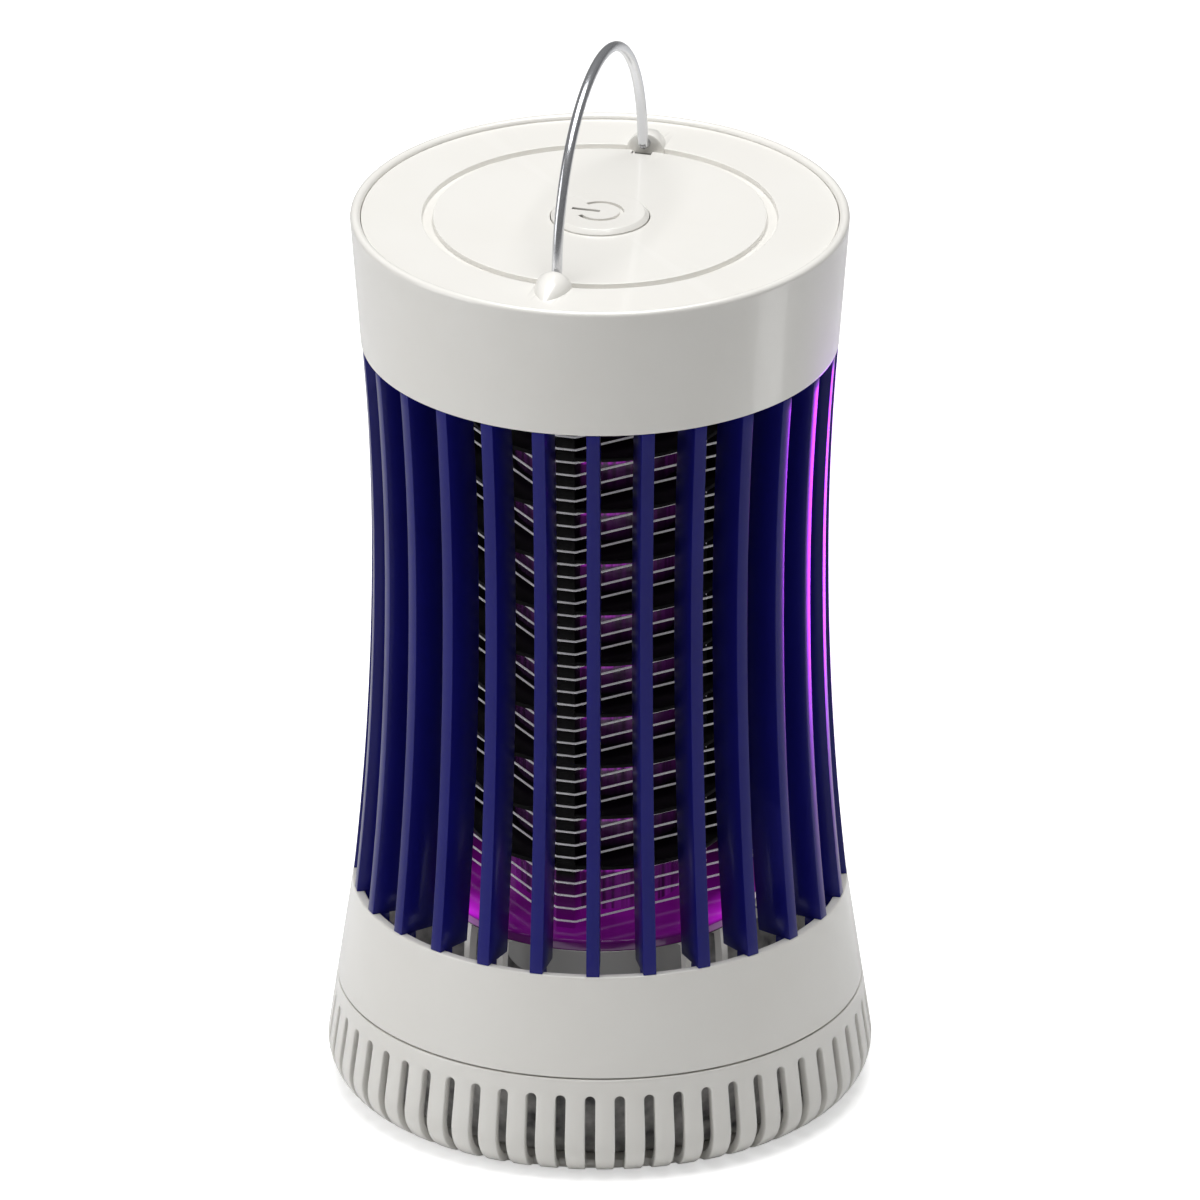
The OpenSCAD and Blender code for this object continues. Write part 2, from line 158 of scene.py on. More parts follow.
def makeCornerHighlightAndShade():
    # painted light: outer corners a little lighter as a painted highlight, inner corners a little darker as a
    # painted shade
    tree, given, out = makeGroup(
        "cornerHighlightAndShade",
        {"Colour": tone(0.8, 0.8, 0.8), "Rubbed Colour": tone(1, 1, 1), "Rubbed Amount": 0.2,
         "Crevice Colour": tone(0.1, 0.1, 0.1), "Crevice Amount": 0.3},
        {"Colour": "NodeSocketColor"})
    corner = place(tree, "ShaderNodeNewGeometry").outputs["Pointiness"]
    highlight = mathOf(tree, "MULTIPLY", spanOf(tree, corner, *effects["highlightSpan"]), given["Rubbed Amount"])
    cornerShade = mathOf(tree, "MULTIPLY", spanOf(tree, corner, *effects["cornerShadeSpan"]), given["Crevice Amount"])
    lighter = blendOf(tree, highlight, given["Colour"], given["Rubbed Colour"])
    tree.links.new(blendOf(tree, cornerShade, lighter, given["Crevice Colour"]), out["Colour"])
    return tree


def makeSettledDust():
    # fine dust on whatever faces up
    tree, given, out = makeGroup(
        "settledDust",
        {"Colour": tone(0.8, 0.8, 0.8), "Dust Colour": tone(0.55, 0.53, 0.5), "Roughness": 0.3,
         "Amount": 0.1},
        {"Colour": "NodeSocketColor", "Roughness": "NodeSocketFloat"})
    specks = noiseOf(tree, whereOf(tree), effects["dustScale"], 4.0)
    facing = spanOf(tree, upwardOf(tree), *effects["dustFacing"])
    upward = mathOf(tree, "MULTIPLY", facing, spanOf(tree, specks, *effects["dustSpan"]))
    share = mathOf(tree, "MULTIPLY", upward, given["Amount"])
    rougher = mathOf(tree, "MULTIPLY", share, effects["dustRoughness"])
    tree.links.new(blendOf(tree, share, given["Colour"], given["Dust Colour"]), out["Colour"])
    tree.links.new(mathOf(tree, "ADD", given["Roughness"], rougher, clamp=True), out["Roughness"])
    return tree


mouldedSkin = makeMouldedSkin()
cornerHighlightAndShade = makeCornerHighlightAndShade()
settledDust = makeSettledDust()


def makeFinish(name, look):
    material, tree, shader = newMaterial(name)
    skin = place(tree, "ShaderNodeGroup", {
        "Colour": tone(*look["colour"]), "Deep Colour": tone(*look["deep"]),
        "Cloud Scale": look.get("cloudScale", 40.0), "Cloud Amount": look.get("cloudAmount", 0.6),
        "Grain Scale": look.get("grainScale", 2500.0), "Roughness": look["roughness"],
        "Roughness Spread": look.get("spread", 0.1)}, node_tree=mouldedSkin)
    # outer corners get a painted highlight and inner corners a painted shade
    cornerLit = place(tree, "ShaderNodeGroup", {
        "Colour": skin.outputs["Colour"], "Rubbed Colour": tone(*look.get("highlight", look["colour"])),
        "Rubbed Amount": look.get("highlightAmount", 0.3), "Crevice Colour": tone(*look.get("shadeTone", look["deep"])),
        "Crevice Amount": look.get("shadeAmount", 0.4)}, node_tree=cornerHighlightAndShade)
    dusty = place(tree, "ShaderNodeGroup", {
        "Colour": cornerLit.outputs["Colour"], "Roughness": skin.outputs["Roughness"],
        "Amount": look.get("dust", 0.05)}, node_tree=settledDust)
    bump = place(tree, "ShaderNodeBump", {
        "Strength": look.get("bump", 0.15), "Distance": effects["grainDepth"],
        "Height": skin.outputs["Height"]})
    feed(tree, shader.inputs, {
        "Base Color": dusty.outputs["Colour"], "Roughness": dusty.outputs["Roughness"],
        # lift is a painted glow: emission in the surface's own colour that stands in for light
        "Emission Color": dusty.outputs["Colour"], "Emission Strength": look.get("lift", 0.0),
        "Normal": bump.outputs[0], "Metallic": look.get("metallic", 0.0),
        "Specular IOR Level": look.get("specular", 0.5), "Coat Weight": look.get("coat", 0.0),
        "Coat Roughness": look.get("coatRoughness", 0.04)})
    return material


# the corner colours and amounts in these looks are painted light: a lighter painted highlight on outer
# corners and a darker painted shade in inner corners
finishLooks = {
    "white_plastic": dict(colour=(0.84, 0.825, 0.785), deep=(0.81, 0.79, 0.745), roughness=0.3, coat=0.5,
                          highlight=(0.9, 0.89, 0.86), highlightAmount=0.15, shadeTone=(0.3, 0.29, 0.27),
                          shadeAmount=0.8, dust=0.0, bump=0.06),
    "grey_plastic": dict(colour=(0.42, 0.42, 0.415), deep=(0.38, 0.38, 0.38), roughness=0.6, dust=0.0),
    "cup_plastic": dict(colour=(0.62, 0.61, 0.6), deep=(0.12, 0.12, 0.125), roughness=0.55,
                        cloudScale=190.0, cloudAmount=1.0, dust=0.0, bump=0.4),
    "fin_plastic": dict(colour=(0.009, 0.009, 0.17), deep=(0.006, 0.005, 0.135), roughness=0.3,
                        specular=0.16, coat=0.1, coatRoughness=0.1, highlight=(0.03, 0.03, 0.24), highlightAmount=0.35,
                        dust=0.0, bump=0.12),
    "grid_plastic": dict(colour=(0.002, 0.002, 0.002), deep=(0.005, 0.003, 0.006), roughness=0.4,
                         specular=0.12, dust=0.0, highlightAmount=0.0),
    # the wires' lift is a painted glow that makes them brighter, though they are no lamp
    "grid_wire": dict(colour=(0.95, 0.94, 0.96), deep=(0.84, 0.82, 0.88), roughness=0.3, metallic=0.3,
                      lift=0.14, cloudScale=300.0, grainScale=6000.0, dust=0.0),
    "aluminium": dict(colour=(0.75, 0.76, 0.78), deep=(0.62, 0.63, 0.65), roughness=0.35, metallic=1.0,
                      cloudScale=120.0),
    "circuit_board": dict(colour=(0.02, 0.18, 0.07), deep=(0.012, 0.12, 0.045), roughness=0.4,
                          cloudScale=260.0, bump=0.3),
    "led_lens": dict(colour=(0.72, 0.5, 0.92), deep=(0.6, 0.36, 0.85), roughness=0.15, coat=0.5),
    "screw_steel": dict(colour=(0.56, 0.57, 0.59), deep=(0.42, 0.42, 0.43), roughness=0.3, metallic=1.0,
                        cloudScale=400.0),
    "ferrite": dict(colour=(0.3, 0.23, 0.1), deep=(0.12, 0.11, 0.1), roughness=0.6, cloudScale=180.0,
                    bump=0.4),
    "film_capacitor": dict(colour=(0.45, 0.05, 0.04), deep=(0.33, 0.03, 0.025), roughness=0.22, coat=0.4),
    "cell_sleeve": dict(colour=(0.08, 0.22, 0.5), deep=(0.05, 0.16, 0.4), roughness=0.25, coat=0.3),
    "lead_sleeve": dict(colour=(0.55, 0.03, 0.03), deep=(0.42, 0.02, 0.02), roughness=0.5),
    "switch_plastic": dict(colour=(0.03, 0.03, 0.035), deep=(0.02, 0.02, 0.022), roughness=0.5),
    "socket_steel": dict(colour=(0.7, 0.71, 0.73), deep=(0.55, 0.55, 0.57), roughness=0.25, metallic=1.0,
                         cloudScale=300.0),
    "bail_wire": dict(colour=(0.7, 0.71, 0.74), deep=(0.6, 0.61, 0.65), roughness=0.2, metallic=0.85,
                      cloudScale=90.0, grainScale=5000.0, bump=0.1),
}
finishes = {name: makeFinish(name, look) for name, look in finishLooks.items()}

wireLevels = {"aboveDisk": 1.3, "pitch": 3.045, "count": 41, "thickness": 0.56, "perSpacer": 4}
firstWire = topOf("glow_disk") + wireLevels["aboveDisk"]
spacerPitch = wireLevels["pitch"] * wireLevels["perSpacer"]
spacerFirst = lowOf("spacer_discs")


def makeDiskGlow():
    # lit from inside by three lamps near the rim; dimTurn is the direction midway between two of them
    look = {"colour": tone(0.07, 0.004, 0.09), "deep": tone(0.09, 0.004, 0.11),
            "glow": tone(0.78, 0.02, 0.95), "dimTurn": -76.5, "lamps": 3.0, "sharpness": 6.0,
            "rimBand": (0.027, 0.0345), "rim": 0.75, "dim": 0.13, "cloudScale": 70.0,
            "cloudSpan": (0.3, 0.7), "rimSpread": (0.4, 1.0), "dimSpread": (0.45, 0.8),
            "facing": (-0.3, 0.9), "roughness": (0.08, 0.16)}
    material, tree, shader = newMaterial("glow_plastic")
    where = whereOf(tree)
    axes = axesOf(tree, where)
    squares = [mathOf(tree, "MULTIPLY", axis, axis) for axis in axes[:2]]
    radius = mathOf(tree, "SQRT", mathOf(tree, "ADD", *squares))
    turn = mathOf(tree, "SUBTRACT", mathOf(tree, "ARCTAN2", axes[1], axes[0]), math.radians(look["dimTurn"]))
    wave = mathOf(tree, "COSINE", mathOf(tree, "MULTIPLY", turn, look["lamps"]))
    lamp = mathOf(tree, "POWER", spanOf(tree, wave, 1.0, -1.0), look["sharpness"])
    cloud = noiseOf(tree, where, look["cloudScale"], 2.0)
    bright = mathOf(tree, "MULTIPLY", spanOf(tree, radius, *look["rimBand"]), lamp)
    bright = mathOf(tree, "MULTIPLY", bright, spanOf(tree, cloud, *look["cloudSpan"], *look["rimSpread"]))
    dim = spanOf(tree, cloud, *look["cloudSpan"], *look["dimSpread"])
    level = mathOf(tree, "ADD", mathOf(tree, "MULTIPLY", bright, look["rim"]),
                   mathOf(tree, "MULTIPLY", dim, look["dim"]))
    level = mathOf(tree, "MULTIPLY", level, spanOf(tree, upwardOf(tree), *look["facing"]))
    feed(tree, shader.inputs, {
        "Emission Color": blendOf(tree, level, tone(0, 0, 0), look["glow"]), "Emission Strength": 1.0,
        "Base Color": blendOf(tree, cloud, look["colour"], look["deep"]),
        "Roughness": spanOf(tree, cloud, *look["cloudSpan"], *look["roughness"])})
    return material


def makeTubeGlow():
    # smoky tube: a bright line over half-way up each gap and a veil that fades below it, in upright streaks
    look = {"colour": tone(0.03, 0.012, 0.04), "deep": tone(0.06, 0.03, 0.08), "glow": tone(0.5, 0.03, 0.62),
            "line": 0.45, "lineAt": 0.6, "lineWidth": 0.045, "veil": 0.07, "veilFrom": 0.1, "lowGap": 0.12,
            "streakScale": (900.0, 900.0, 25.0), "streakSpan": (0.4, 0.62), "streakLow": 0.15,
            "roughSpan": (0.3, 0.7), "roughness": (0.12, 0.25)}
    material, tree, shader = newMaterial("tube_plastic")
    where = whereOf(tree)
    aboveFirst = mathOf(tree, "SUBTRACT", axesOf(tree, where)[2], spacerFirst * mm)
    level = mathOf(tree, "DIVIDE", aboveFirst, spacerPitch * mm)
    gap = mathOf(tree, "FRACT", mathOf(tree, "ADD", level, 8.0))      # whole gaps added, so it stays positive
    streakAt = place(tree, "ShaderNodeMapping", {"Vector": where, "Scale": look["streakScale"]}).outputs[0]
    streak = noiseOf(tree, streakAt, 1.0, 3.0)
    offLine = mathOf(tree, "ABSOLUTE", mathOf(tree, "SUBTRACT", gap, look["lineAt"]))
    line = mathOf(tree, "MULTIPLY", spanOf(tree, offLine, look["lineWidth"], 0.0), look["line"])
    veil = mathOf(tree, "MULTIPLY", spanOf(tree, gap, look["veilFrom"], look["lineAt"]), look["veil"])
    lowest = mathOf(tree, "MULTIPLY", spanOf(tree, level, 0.0, -1.0), look["lowGap"])
    amount = mathOf(tree, "ADD", mathOf(tree, "ADD", line, veil), lowest)
    drawn = spanOf(tree, streak, *look["streakSpan"], look["streakLow"], 1.0)
    amount = mathOf(tree, "MULTIPLY", amount, drawn, clamp=True)
    feed(tree, shader.inputs, {
        "Emission Color": blendOf(tree, amount, tone(0, 0, 0), look["glow"]), "Emission Strength": 1.0,
        "Base Color": blendOf(tree, streak, look["colour"], look["deep"]),
        "Roughness": spanOf(tree, streak, *look["roughSpan"], *look["roughness"])})
    return material


def paintDiskLightSpill(material):
    # painted light: the black plastic glows violet close above the disk, a painted spill of the disk's light
    look = {"reach": 13.0, "glow": tone(0.06, 0.001, 0.075)}
    tree = material.node_tree
    shader = tree.nodes["Principled BSDF"]
    diskTop = topOf("glow_disk")
    near = spanOf(tree, axesOf(tree, whereOf(tree))[2], (diskTop + look["reach"]) * mm, diskTop * mm)
    glow = blendOf(tree, near, tone(0, 0, 0), look["glow"])
    feed(tree, shader.inputs, {"Emission Color": glow, "Emission Strength": 1.0})


# painted violet light from the disk on the black grid plastic
paintDiskLightSpill(finishes["grid_plastic"])
finishes["glow_plastic"] = makeDiskGlow()
finishes["tube_plastic"] = makeTubeGlow()
print("finishes ready:", len(finishes))


# ---- mesh helpers

meshLook = {"merge": 1e-7, "copyMerge": 2e-6, "trayMerge": 5e-6, "sharp": 35.0, "wireSharp": 50.0,
            "flatAngle": 1.0, "longRun": 1.5, "guard": 0.2, "onAxis": 1e-6}


def shaded(mesh, sharp=meshLook["sharp"]):
    mesh.shade_smooth()
    mesh.set_sharp_from_angle(angle=math.radians(sharp))
    return mesh


def meshFrom(name, form, sharp=meshLook["sharp"]):
    bmesh.ops.remove_doubles(form, verts=form.verts, dist=meshLook["merge"])
    mesh = bpy.data.meshes.new(name)
    form.to_mesh(mesh)
    form.free()
    return shaded(mesh, sharp)


def vertAt(form, r, turn, z):
    return form.verts.new((r * mm * math.cos(turn), r * mm * math.sin(turn), z * mm))


def stitch(form, rows, closed=False):
    # four-sided faces between neighbouring rows of points
    for first, second in zip(rows, rows[1:]):
        count = len(first)
        for k in range(count if closed else count - 1):
            ahead = (k + 1) % count
            form.faces.new([first[k], first[ahead], second[ahead], second[k]])


def makePiece(name, mesh, finishName):
    mesh.materials.clear()
    mesh.materials.append(finishes[finishName])
    piece = bpy.data.objects.new(name, mesh)
    scene.collection.objects.link(piece)
    return piece


def soften(piece, width, segments=2, angle=40.0):
    bevel = piece.modifiers.new("soften", "BEVEL")
    bevel.width = width * mm
    bevel.segments = segments
    bevel.limit_method = "ANGLE"
    bevel.angle_limit = math.radians(angle)
    bevel.harden_normals = False
    return piece


def settle(piece, body, finishName, *nodes):
    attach(piece, body)
    if nodes:
        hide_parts(*nodes)
    return piece


def addPiece(name, mesh, body, finishName, *nodes):
    return settle(makePiece(name, mesh, finishName), body, finishName, *nodes)


def roundedOutline(corners, steps=5):
    # corners are (radius from the axis, height, rounding); the outline runs round the section once
    outline = []
    for i, (r, z, rounding) in enumerate(corners):
        here = Vector((r, z))
        if not rounding:
            outline.append(here)
            continue
        back = Vector(corners[i - 1][:2]) - here
        ahead = Vector(corners[(i + 1) % len(corners)][:2]) - here
        half = back.angle(ahead) / 2
        reach = min(rounding / math.tan(half), 0.49 * back.length, 0.49 * ahead.length)
        back.normalize()
        ahead.normalize()
        centre = here + (back + ahead).normalized() * (reach / math.cos(half))
        start = here + back * reach - centre
        end = here + ahead * reach - centre
        sweep = start.angle_signed(end)
        for k in range(steps + 1):
            outline.append(centre + Matrix.Rotation(-sweep * k / steps, 2) @ start)
    return outline


def guarded(outline, onAxis):
    # extra points just inside the ends of long straight runs, so that they shade flat
    kept = []
    for i, here in enumerate(outline):
        kept.append(Vector(here))
        ahead = Vector(outline[(i + 1) % len(outline)])
        run = ahead - kept[-1]
        if run.length > meshLook["longRun"] and not (onAxis and i == len(outline) - 1):
            step = run.normalized() * meshLook["guard"]
            kept += [kept[-1] + step, ahead - step]
    return kept


def lathe(name, outline, around=224):
    # spins a section about the upright axis; a section that starts and ends on the axis is closed there
    form = bmesh.new()
    onAxis = outline[0][0] < meshLook["onAxis"]
    rings = []
    for r, z in guarded(outline, onAxis):
        count = 1 if r < meshLook["onAxis"] else around
        rings.append([vertAt(form, r, 2 * math.pi * k / around, z) for k in range(count)])
    pairs = list(zip(rings, rings[1:])) + ([] if onAxis else [(rings[-1], rings[0])])
    for first, second in pairs:
        for k in range(around):
            corners = [first[k % len(first)], first[(k + 1) % len(first)],
                       second[(k + 1) % len(second)], second[k % len(second)]]
            corners = list(dict.fromkeys(corners))
            if len(corners) > 2:
                form.faces.new(corners)
    bmesh.ops.recalc_face_normals(form, faces=form.faces)
    return meshFrom(name, form)


def addSpun(name, outline, body, finishName, node, around=224):
    # a spun piece on its body, in the place of a CAD node
    return addPiece(name, lathe(name, outline, around), body, finishName, node)


def rodMesh(name, radius, low, high):
    return lathe(name, [(0, low), (radius, low), (radius, high), (0, high)], 32)


def slab(name, outline, low, high):
    # a flat outline in x and y, made solid between two heights
    form = bmesh.new()
    face = form.faces.new([form.verts.new((x * mm, y * mm, low * mm)) for x, y in outline])
    grown = bmesh.ops.extrude_face_region(form, geom=[face])["geom"]
    rising = [v for v in grown if isinstance(v, bmesh.types.BMVert)]
    bmesh.ops.translate(form, verts=rising, vec=(0, 0, (high - low) * mm))
    bmesh.ops.recalc_face_normals(form, faces=form.faces)
    return meshFrom(name, form)


def sweep(name, path, radius, sides, across, closed=False):
    # a round wire along a flat path; across is the direction square to the path's plane
    form = bmesh.new()
    points = [Vector(p) for p in path]
    across = Vector(across)
    rings = []
    for i, point in enumerate(points):
        before = points[i - 1] if (closed or i > 0) else point
        after = points[(i + 1) % len(points)] if (closed or i < len(points) - 1) else point
        side = (after - before).normalized().cross(across)
        ring = []
        for k in range(sides):
            turn = 2 * math.pi * k / sides
            outward = math.cos(turn) * side + math.sin(turn) * across
            ring.append(form.verts.new((point + radius * outward) * mm))
        rings.append(ring)
    stitch(form, rings + rings[:1] if closed else rings, closed=True)
    if not closed:
        form.faces.new(rings[0])
        form.faces.new(rings[-1])
    bmesh.ops.recalc_face_normals(form, faces=form.faces)
    return meshFrom(name, form, meshLook["wireSharp"])


def evaluatedMesh(piece, name):
    # the piece's mesh with its modifiers worked in; the piece itself goes
    graph = bpy.context.evaluated_depsgraph_get()
    mesh = bpy.data.meshes.new_from_object(piece.evaluated_get(graph), depsgraph=graph)
    mesh.name = name
    bpy.data.objects.remove(piece)
    return mesh


def carve(mesh, tools, operation="DIFFERENCE"):
    # takes the tool meshes out of a mesh, or adds them to it
    piece = bpy.data.objects.new("carving", mesh)
    scene.collection.objects.link(piece)
    helpers = []
    for tool in tools:
        helper = bpy.data.objects.new("carvingTool", tool)
        scene.collection.objects.link(helper)
        helpers.append(helper)
        cut = piece.modifiers.new("carve", "BOOLEAN")
        cut.operation = operation
        cut.solver = "EXACT"
        cut.object = helper
    result = evaluatedMesh(piece, mesh.name)
    for helper in helpers:
        bpy.data.objects.remove(helper)
    return shaded(result)


def cleanCopy(node, name):
    # a merged copy of a CAD node's loose triangles, with flat areas made whole
    form = bmesh.new()
    form.from_mesh(frame["nodes"][node].data)
    bmesh.ops.remove_doubles(form, verts=form.verts, dist=meshLook["copyMerge"])
    flat = math.radians(meshLook["flatAngle"])
    bmesh.ops.dissolve_limit(form, angle_limit=flat, verts=form.verts, edges=form.edges)
    return meshFrom(name, form)


repeatInputs = {"Geometry": "NodeSocketGeometry", "Number Around": "NodeSocketInt",
                "Number Up": "NodeSocketInt", "First Turn": "NodeSocketFloat", "Pitch": "NodeSocketFloat",
                "Finish": "NodeSocketMaterial"}


def makeRepeatTree():
    # copies a mesh round the axis and up it, then makes the copies real and gives them their finish
    tree = bpy.data.node_groups.new("repeatRoundAndUp", "GeometryNodeTree")
    for label, kind in repeatInputs.items():
        tree.interface.new_socket(name=label, in_out="INPUT", socket_type=kind)
    tree.interface.new_socket(name="Geometry", in_out="OUTPUT", socket_type="NodeSocketGeometry")
    given = tree.nodes.new("NodeGroupInput").outputs
    index = place(tree, "GeometryNodeInputIndex").outputs[0]
    level = mathOf(tree, "FLOOR", mathOf(tree, "DIVIDE", index, given["Number Around"]))
    stepTurn = mathOf(tree, "DIVIDE", 2 * math.pi, given["Number Around"])
    turn = mathOf(tree, "MULTIPLY", mathOf(tree, "MODULO", index, given["Number Around"]), stepTurn)
    turn = mathOf(tree, "ADD", turn, given["First Turn"])
    rise = mathOf(tree, "MULTIPLY", level, given["Pitch"])
    spot = place(tree, "ShaderNodeCombineXYZ", {2: rise}).outputs[0]
    count = mathOf(tree, "MULTIPLY", given["Number Around"], given["Number Up"])
    points = place(tree, "GeometryNodePoints", {"Count": count, "Position": spot}).outputs[0]
    turns = place(tree, "ShaderNodeCombineXYZ", {2: turn}).outputs[0]
    turned = place(tree, "FunctionNodeEulerToRotation", {0: turns})
    feeds = {"Points": points, "Instance": given["Geometry"], "Rotation": turned.outputs[0]}
    copies = place(tree, "GeometryNodeInstanceOnPoints", feeds).outputs[0]
    real = place(tree, "GeometryNodeRealizeInstances", {0: copies}).outputs[0]
    feeds = {"Geometry": real, "Material": given["Finish"]}
    dressed = place(tree, "GeometryNodeSetMaterial", feeds).outputs[0]
    tree.links.new(dressed, tree.nodes.new("NodeGroupOutput").inputs[0])
    return tree


repeatTree = makeRepeatTree()


def repeated(name, mesh, finishName, around=1, up=1, firstTurn=0.0, pitch=0.0, softness=0.0):
    # the copies of a mesh as one piece
    source = makePiece(name + "Source", mesh, finishName)
    if softness:
        soften(source, softness)
    spread = source.modifiers.new("repeat", "NODES")
    spread.node_group = repeatTree
    values = {"Number Around": around, "Number Up": up, "First Turn": math.radians(firstTurn),
              "Pitch": pitch * mm, "Finish": finishes[finishName]}
    for socket in repeatTree.interface.items_tree:
        if socket.in_out == "INPUT" and socket.name in values:
            spread[socket.identifier] = values[socket.name]
    return makePiece(name, shaded(evaluatedMesh(source, name)), finishName)


# ---- base: slotted tray, cup and shell

baseForm = {"footRadius": 50.49, "cornerRadius": 8.9, "sideAngle": 8.25, "wall": 2.0, "rimRadius": 54.0}
sideTilt = math.radians(baseForm["sideAngle"])


def sideRadius(z, inset=0.0):
    corner = baseForm["cornerRadius"]
    return baseForm["footRadius"] + (corner - inset) / math.cos(sideTilt) - (z - corner) * math.tan(sideTilt)


def trayPath(length):
    # (radius, height) at a length along the tray's outside, 0 where the round edge leaves the flat underside
    foot = baseForm["footRadius"]
    corner = baseForm["cornerRadius"]
    arc = corner * (math.pi / 2 + sideTilt)
    if length <= 0:
        return foot + length, 0.0
    angle = -math.pi / 2 + min(length, arc) / corner
    rest = max(length - arc, 0.0)
    return (foot + corner * math.cos(angle) - rest * math.sin(sideTilt),
            corner + corner * math.sin(angle) + rest * math.cos(sideTilt))


def trayLengthAt(z):
    corner = baseForm["cornerRadius"]
    turned = corner * (1 + math.sin(sideTilt))
    return corner * (math.pi / 2 + sideTilt) + (z - turned) / math.cos(sideTilt)


slottedTray = {"slots": 56, "slotWidth": 2.3, "slotTop": 20.0, "slotStartRadius": 52.0, "sideSteps": 14,
               "bendSteps": 4, "rimSteps": 3, "frameBelow": 0.7, "frameAbove": 0.9,
               "underRadii": (50.0, 44.0, 30.0, 14.0), "softness": 0.28, "bevelAngle": 50.0}
halfSector = math.pi / slottedTray["slots"]
halfSlot = slottedTray["slotWidth"] / 2
trayRim = trayLengthAt(topOf("tray_shell"))


def addHalfSector(form, sector, side):
    # the sheet on one side of a slot's middle, built in (turn, length along the outside)
    middleTurn = -math.pi / 2 + 2 * halfSector * sector
    corner = baseForm["cornerRadius"]
    low = corner * math.asin((slottedTray["slotStartRadius"] - baseForm["footRadius"]) / corner)
    arch = trayLengthAt(slottedTray["slotTop"]) - halfSlot
    frameLow = low - slottedTray["frameBelow"]
    frameTop = arch + halfSlot + slottedTray["frameAbove"]

    def byShare(share, length):
        r, z = trayPath(length)
        return vertAt(form, r, middleTurn + share * halfSector, z)

    def byWidth(across, length):
        r, z = trayPath(length)
        return vertAt(form, r, middleTurn + across / r, z)

    # the straight side of the slot and the strip under it
    steps = slottedTray["sideSteps"]
    edge = [low + (arch - low) * k / steps for k in range(steps + 1)]
    stitch(form, [[byWidth(side * halfSlot, s) for s in edge], [byShare(side, s) for s in edge]])
    stitch(form, [[byShare(side, s), byWidth(side * halfSlot, s), byWidth(0.0, s)] for s in (frameLow, low)])

    # the round top of the slot and the band above it
    steps = slottedTray["bendSteps"]
    bend = []
    surround = []
    for k in range(steps + 1):
        angle = math.pi / 2 * k / steps
        bend.append(byWidth(side * halfSlot * math.cos(angle), arch + halfSlot * math.sin(angle)))
        if k <= steps // 2:
            surround.append(byShare(side, arch + (frameTop - arch) * k / (steps // 2)))
        else:
            surround.append(byShare(side * (steps - k) / (steps - steps // 2), frameTop))
    stitch(form, [bend, surround])
    steps = slottedTray["rimSteps"]
    rows = [frameTop + (trayRim - frameTop) * k / steps for k in range(steps + 1)]
    stitch(form, [[byShare(share, s) for share in (side, side * 0.5, 0.0)] for s in rows])

    # the underside, in to the middle
    edgeRadius, edgeHeight = trayPath(frameLow)
    turns = [middleTurn + t for t in (side * halfSector, side * halfSlot / edgeRadius, 0.0)]
    under = [(edgeRadius, edgeHeight)] + [(r, 0.0) for r in slottedTray["underRadii"]]
    rows = [[vertAt(form, r, turn, z) for turn in turns] for r, z in under]
    stitch(form, rows)
    middle = form.verts.new((0, 0, 0))
    for first, second in zip(rows[-1], rows[-1][1:]):
        form.faces.new([first, second, middle])


def makeTrayMesh():
    form = bmesh.new()
    for sector in range(slottedTray["slots"]):
        for side in (-1, 1):
            addHalfSector(form, sector, side)
    bmesh.ops.remove_doubles(form, verts=form.verts, dist=meshLook["trayMerge"])
    bmesh.ops.recalc_face_normals(form, faces=form.faces)
    lowest = min(form.faces, key=lambda face: face.calc_center_median().z)
    if lowest.normal.z > 0:
        bmesh.ops.reverse_faces(form, faces=form.faces)
    return meshFrom("slottedTray", form)

tray = makePiece("slottedTray", makeTrayMesh(), "white_plastic")
shell = tray.modifiers.new("wall", "SOLIDIFY")
shell.thickness = baseForm["wall"] * mm
shell.offset = -1.0
shell.use_even_offset = True
soften(tray, slottedTray["softness"], angle=slottedTray["bevelAngle"])
settle(tray, "tray", "white_plastic", "tray_shell")

trayCup = {"floorRadius": 48.6, "mouthRadius": 52.6, "thickness": 1.2, "softFoot": 1.5, "softMouth": 0.4,
           "softFloor": 1.0}
cupLow = lowOf("tray_cup")
cupTop = topOf("tray_cup")
cupWall = trayCup["thickness"]
cupOutline = roundedOutline([
    (0, cupLow, 0), (trayCup["floorRadius"], cupLow, trayCup["softFoot"]),
    (trayCup["mouthRadius"], cupTop, trayCup["softMouth"]),
    (trayCup["mouthRadius"] - cupWall, cupTop, trayCup["softMouth"]),
    (trayCup["floorRadius"] - cupWall, cupLow + cupWall, trayCup["softFloor"]), (0, cupLow + cupWall, 0)])
addSpun("trayCup", cupOutline, "tray", "cup_plastic", "tray_cup")

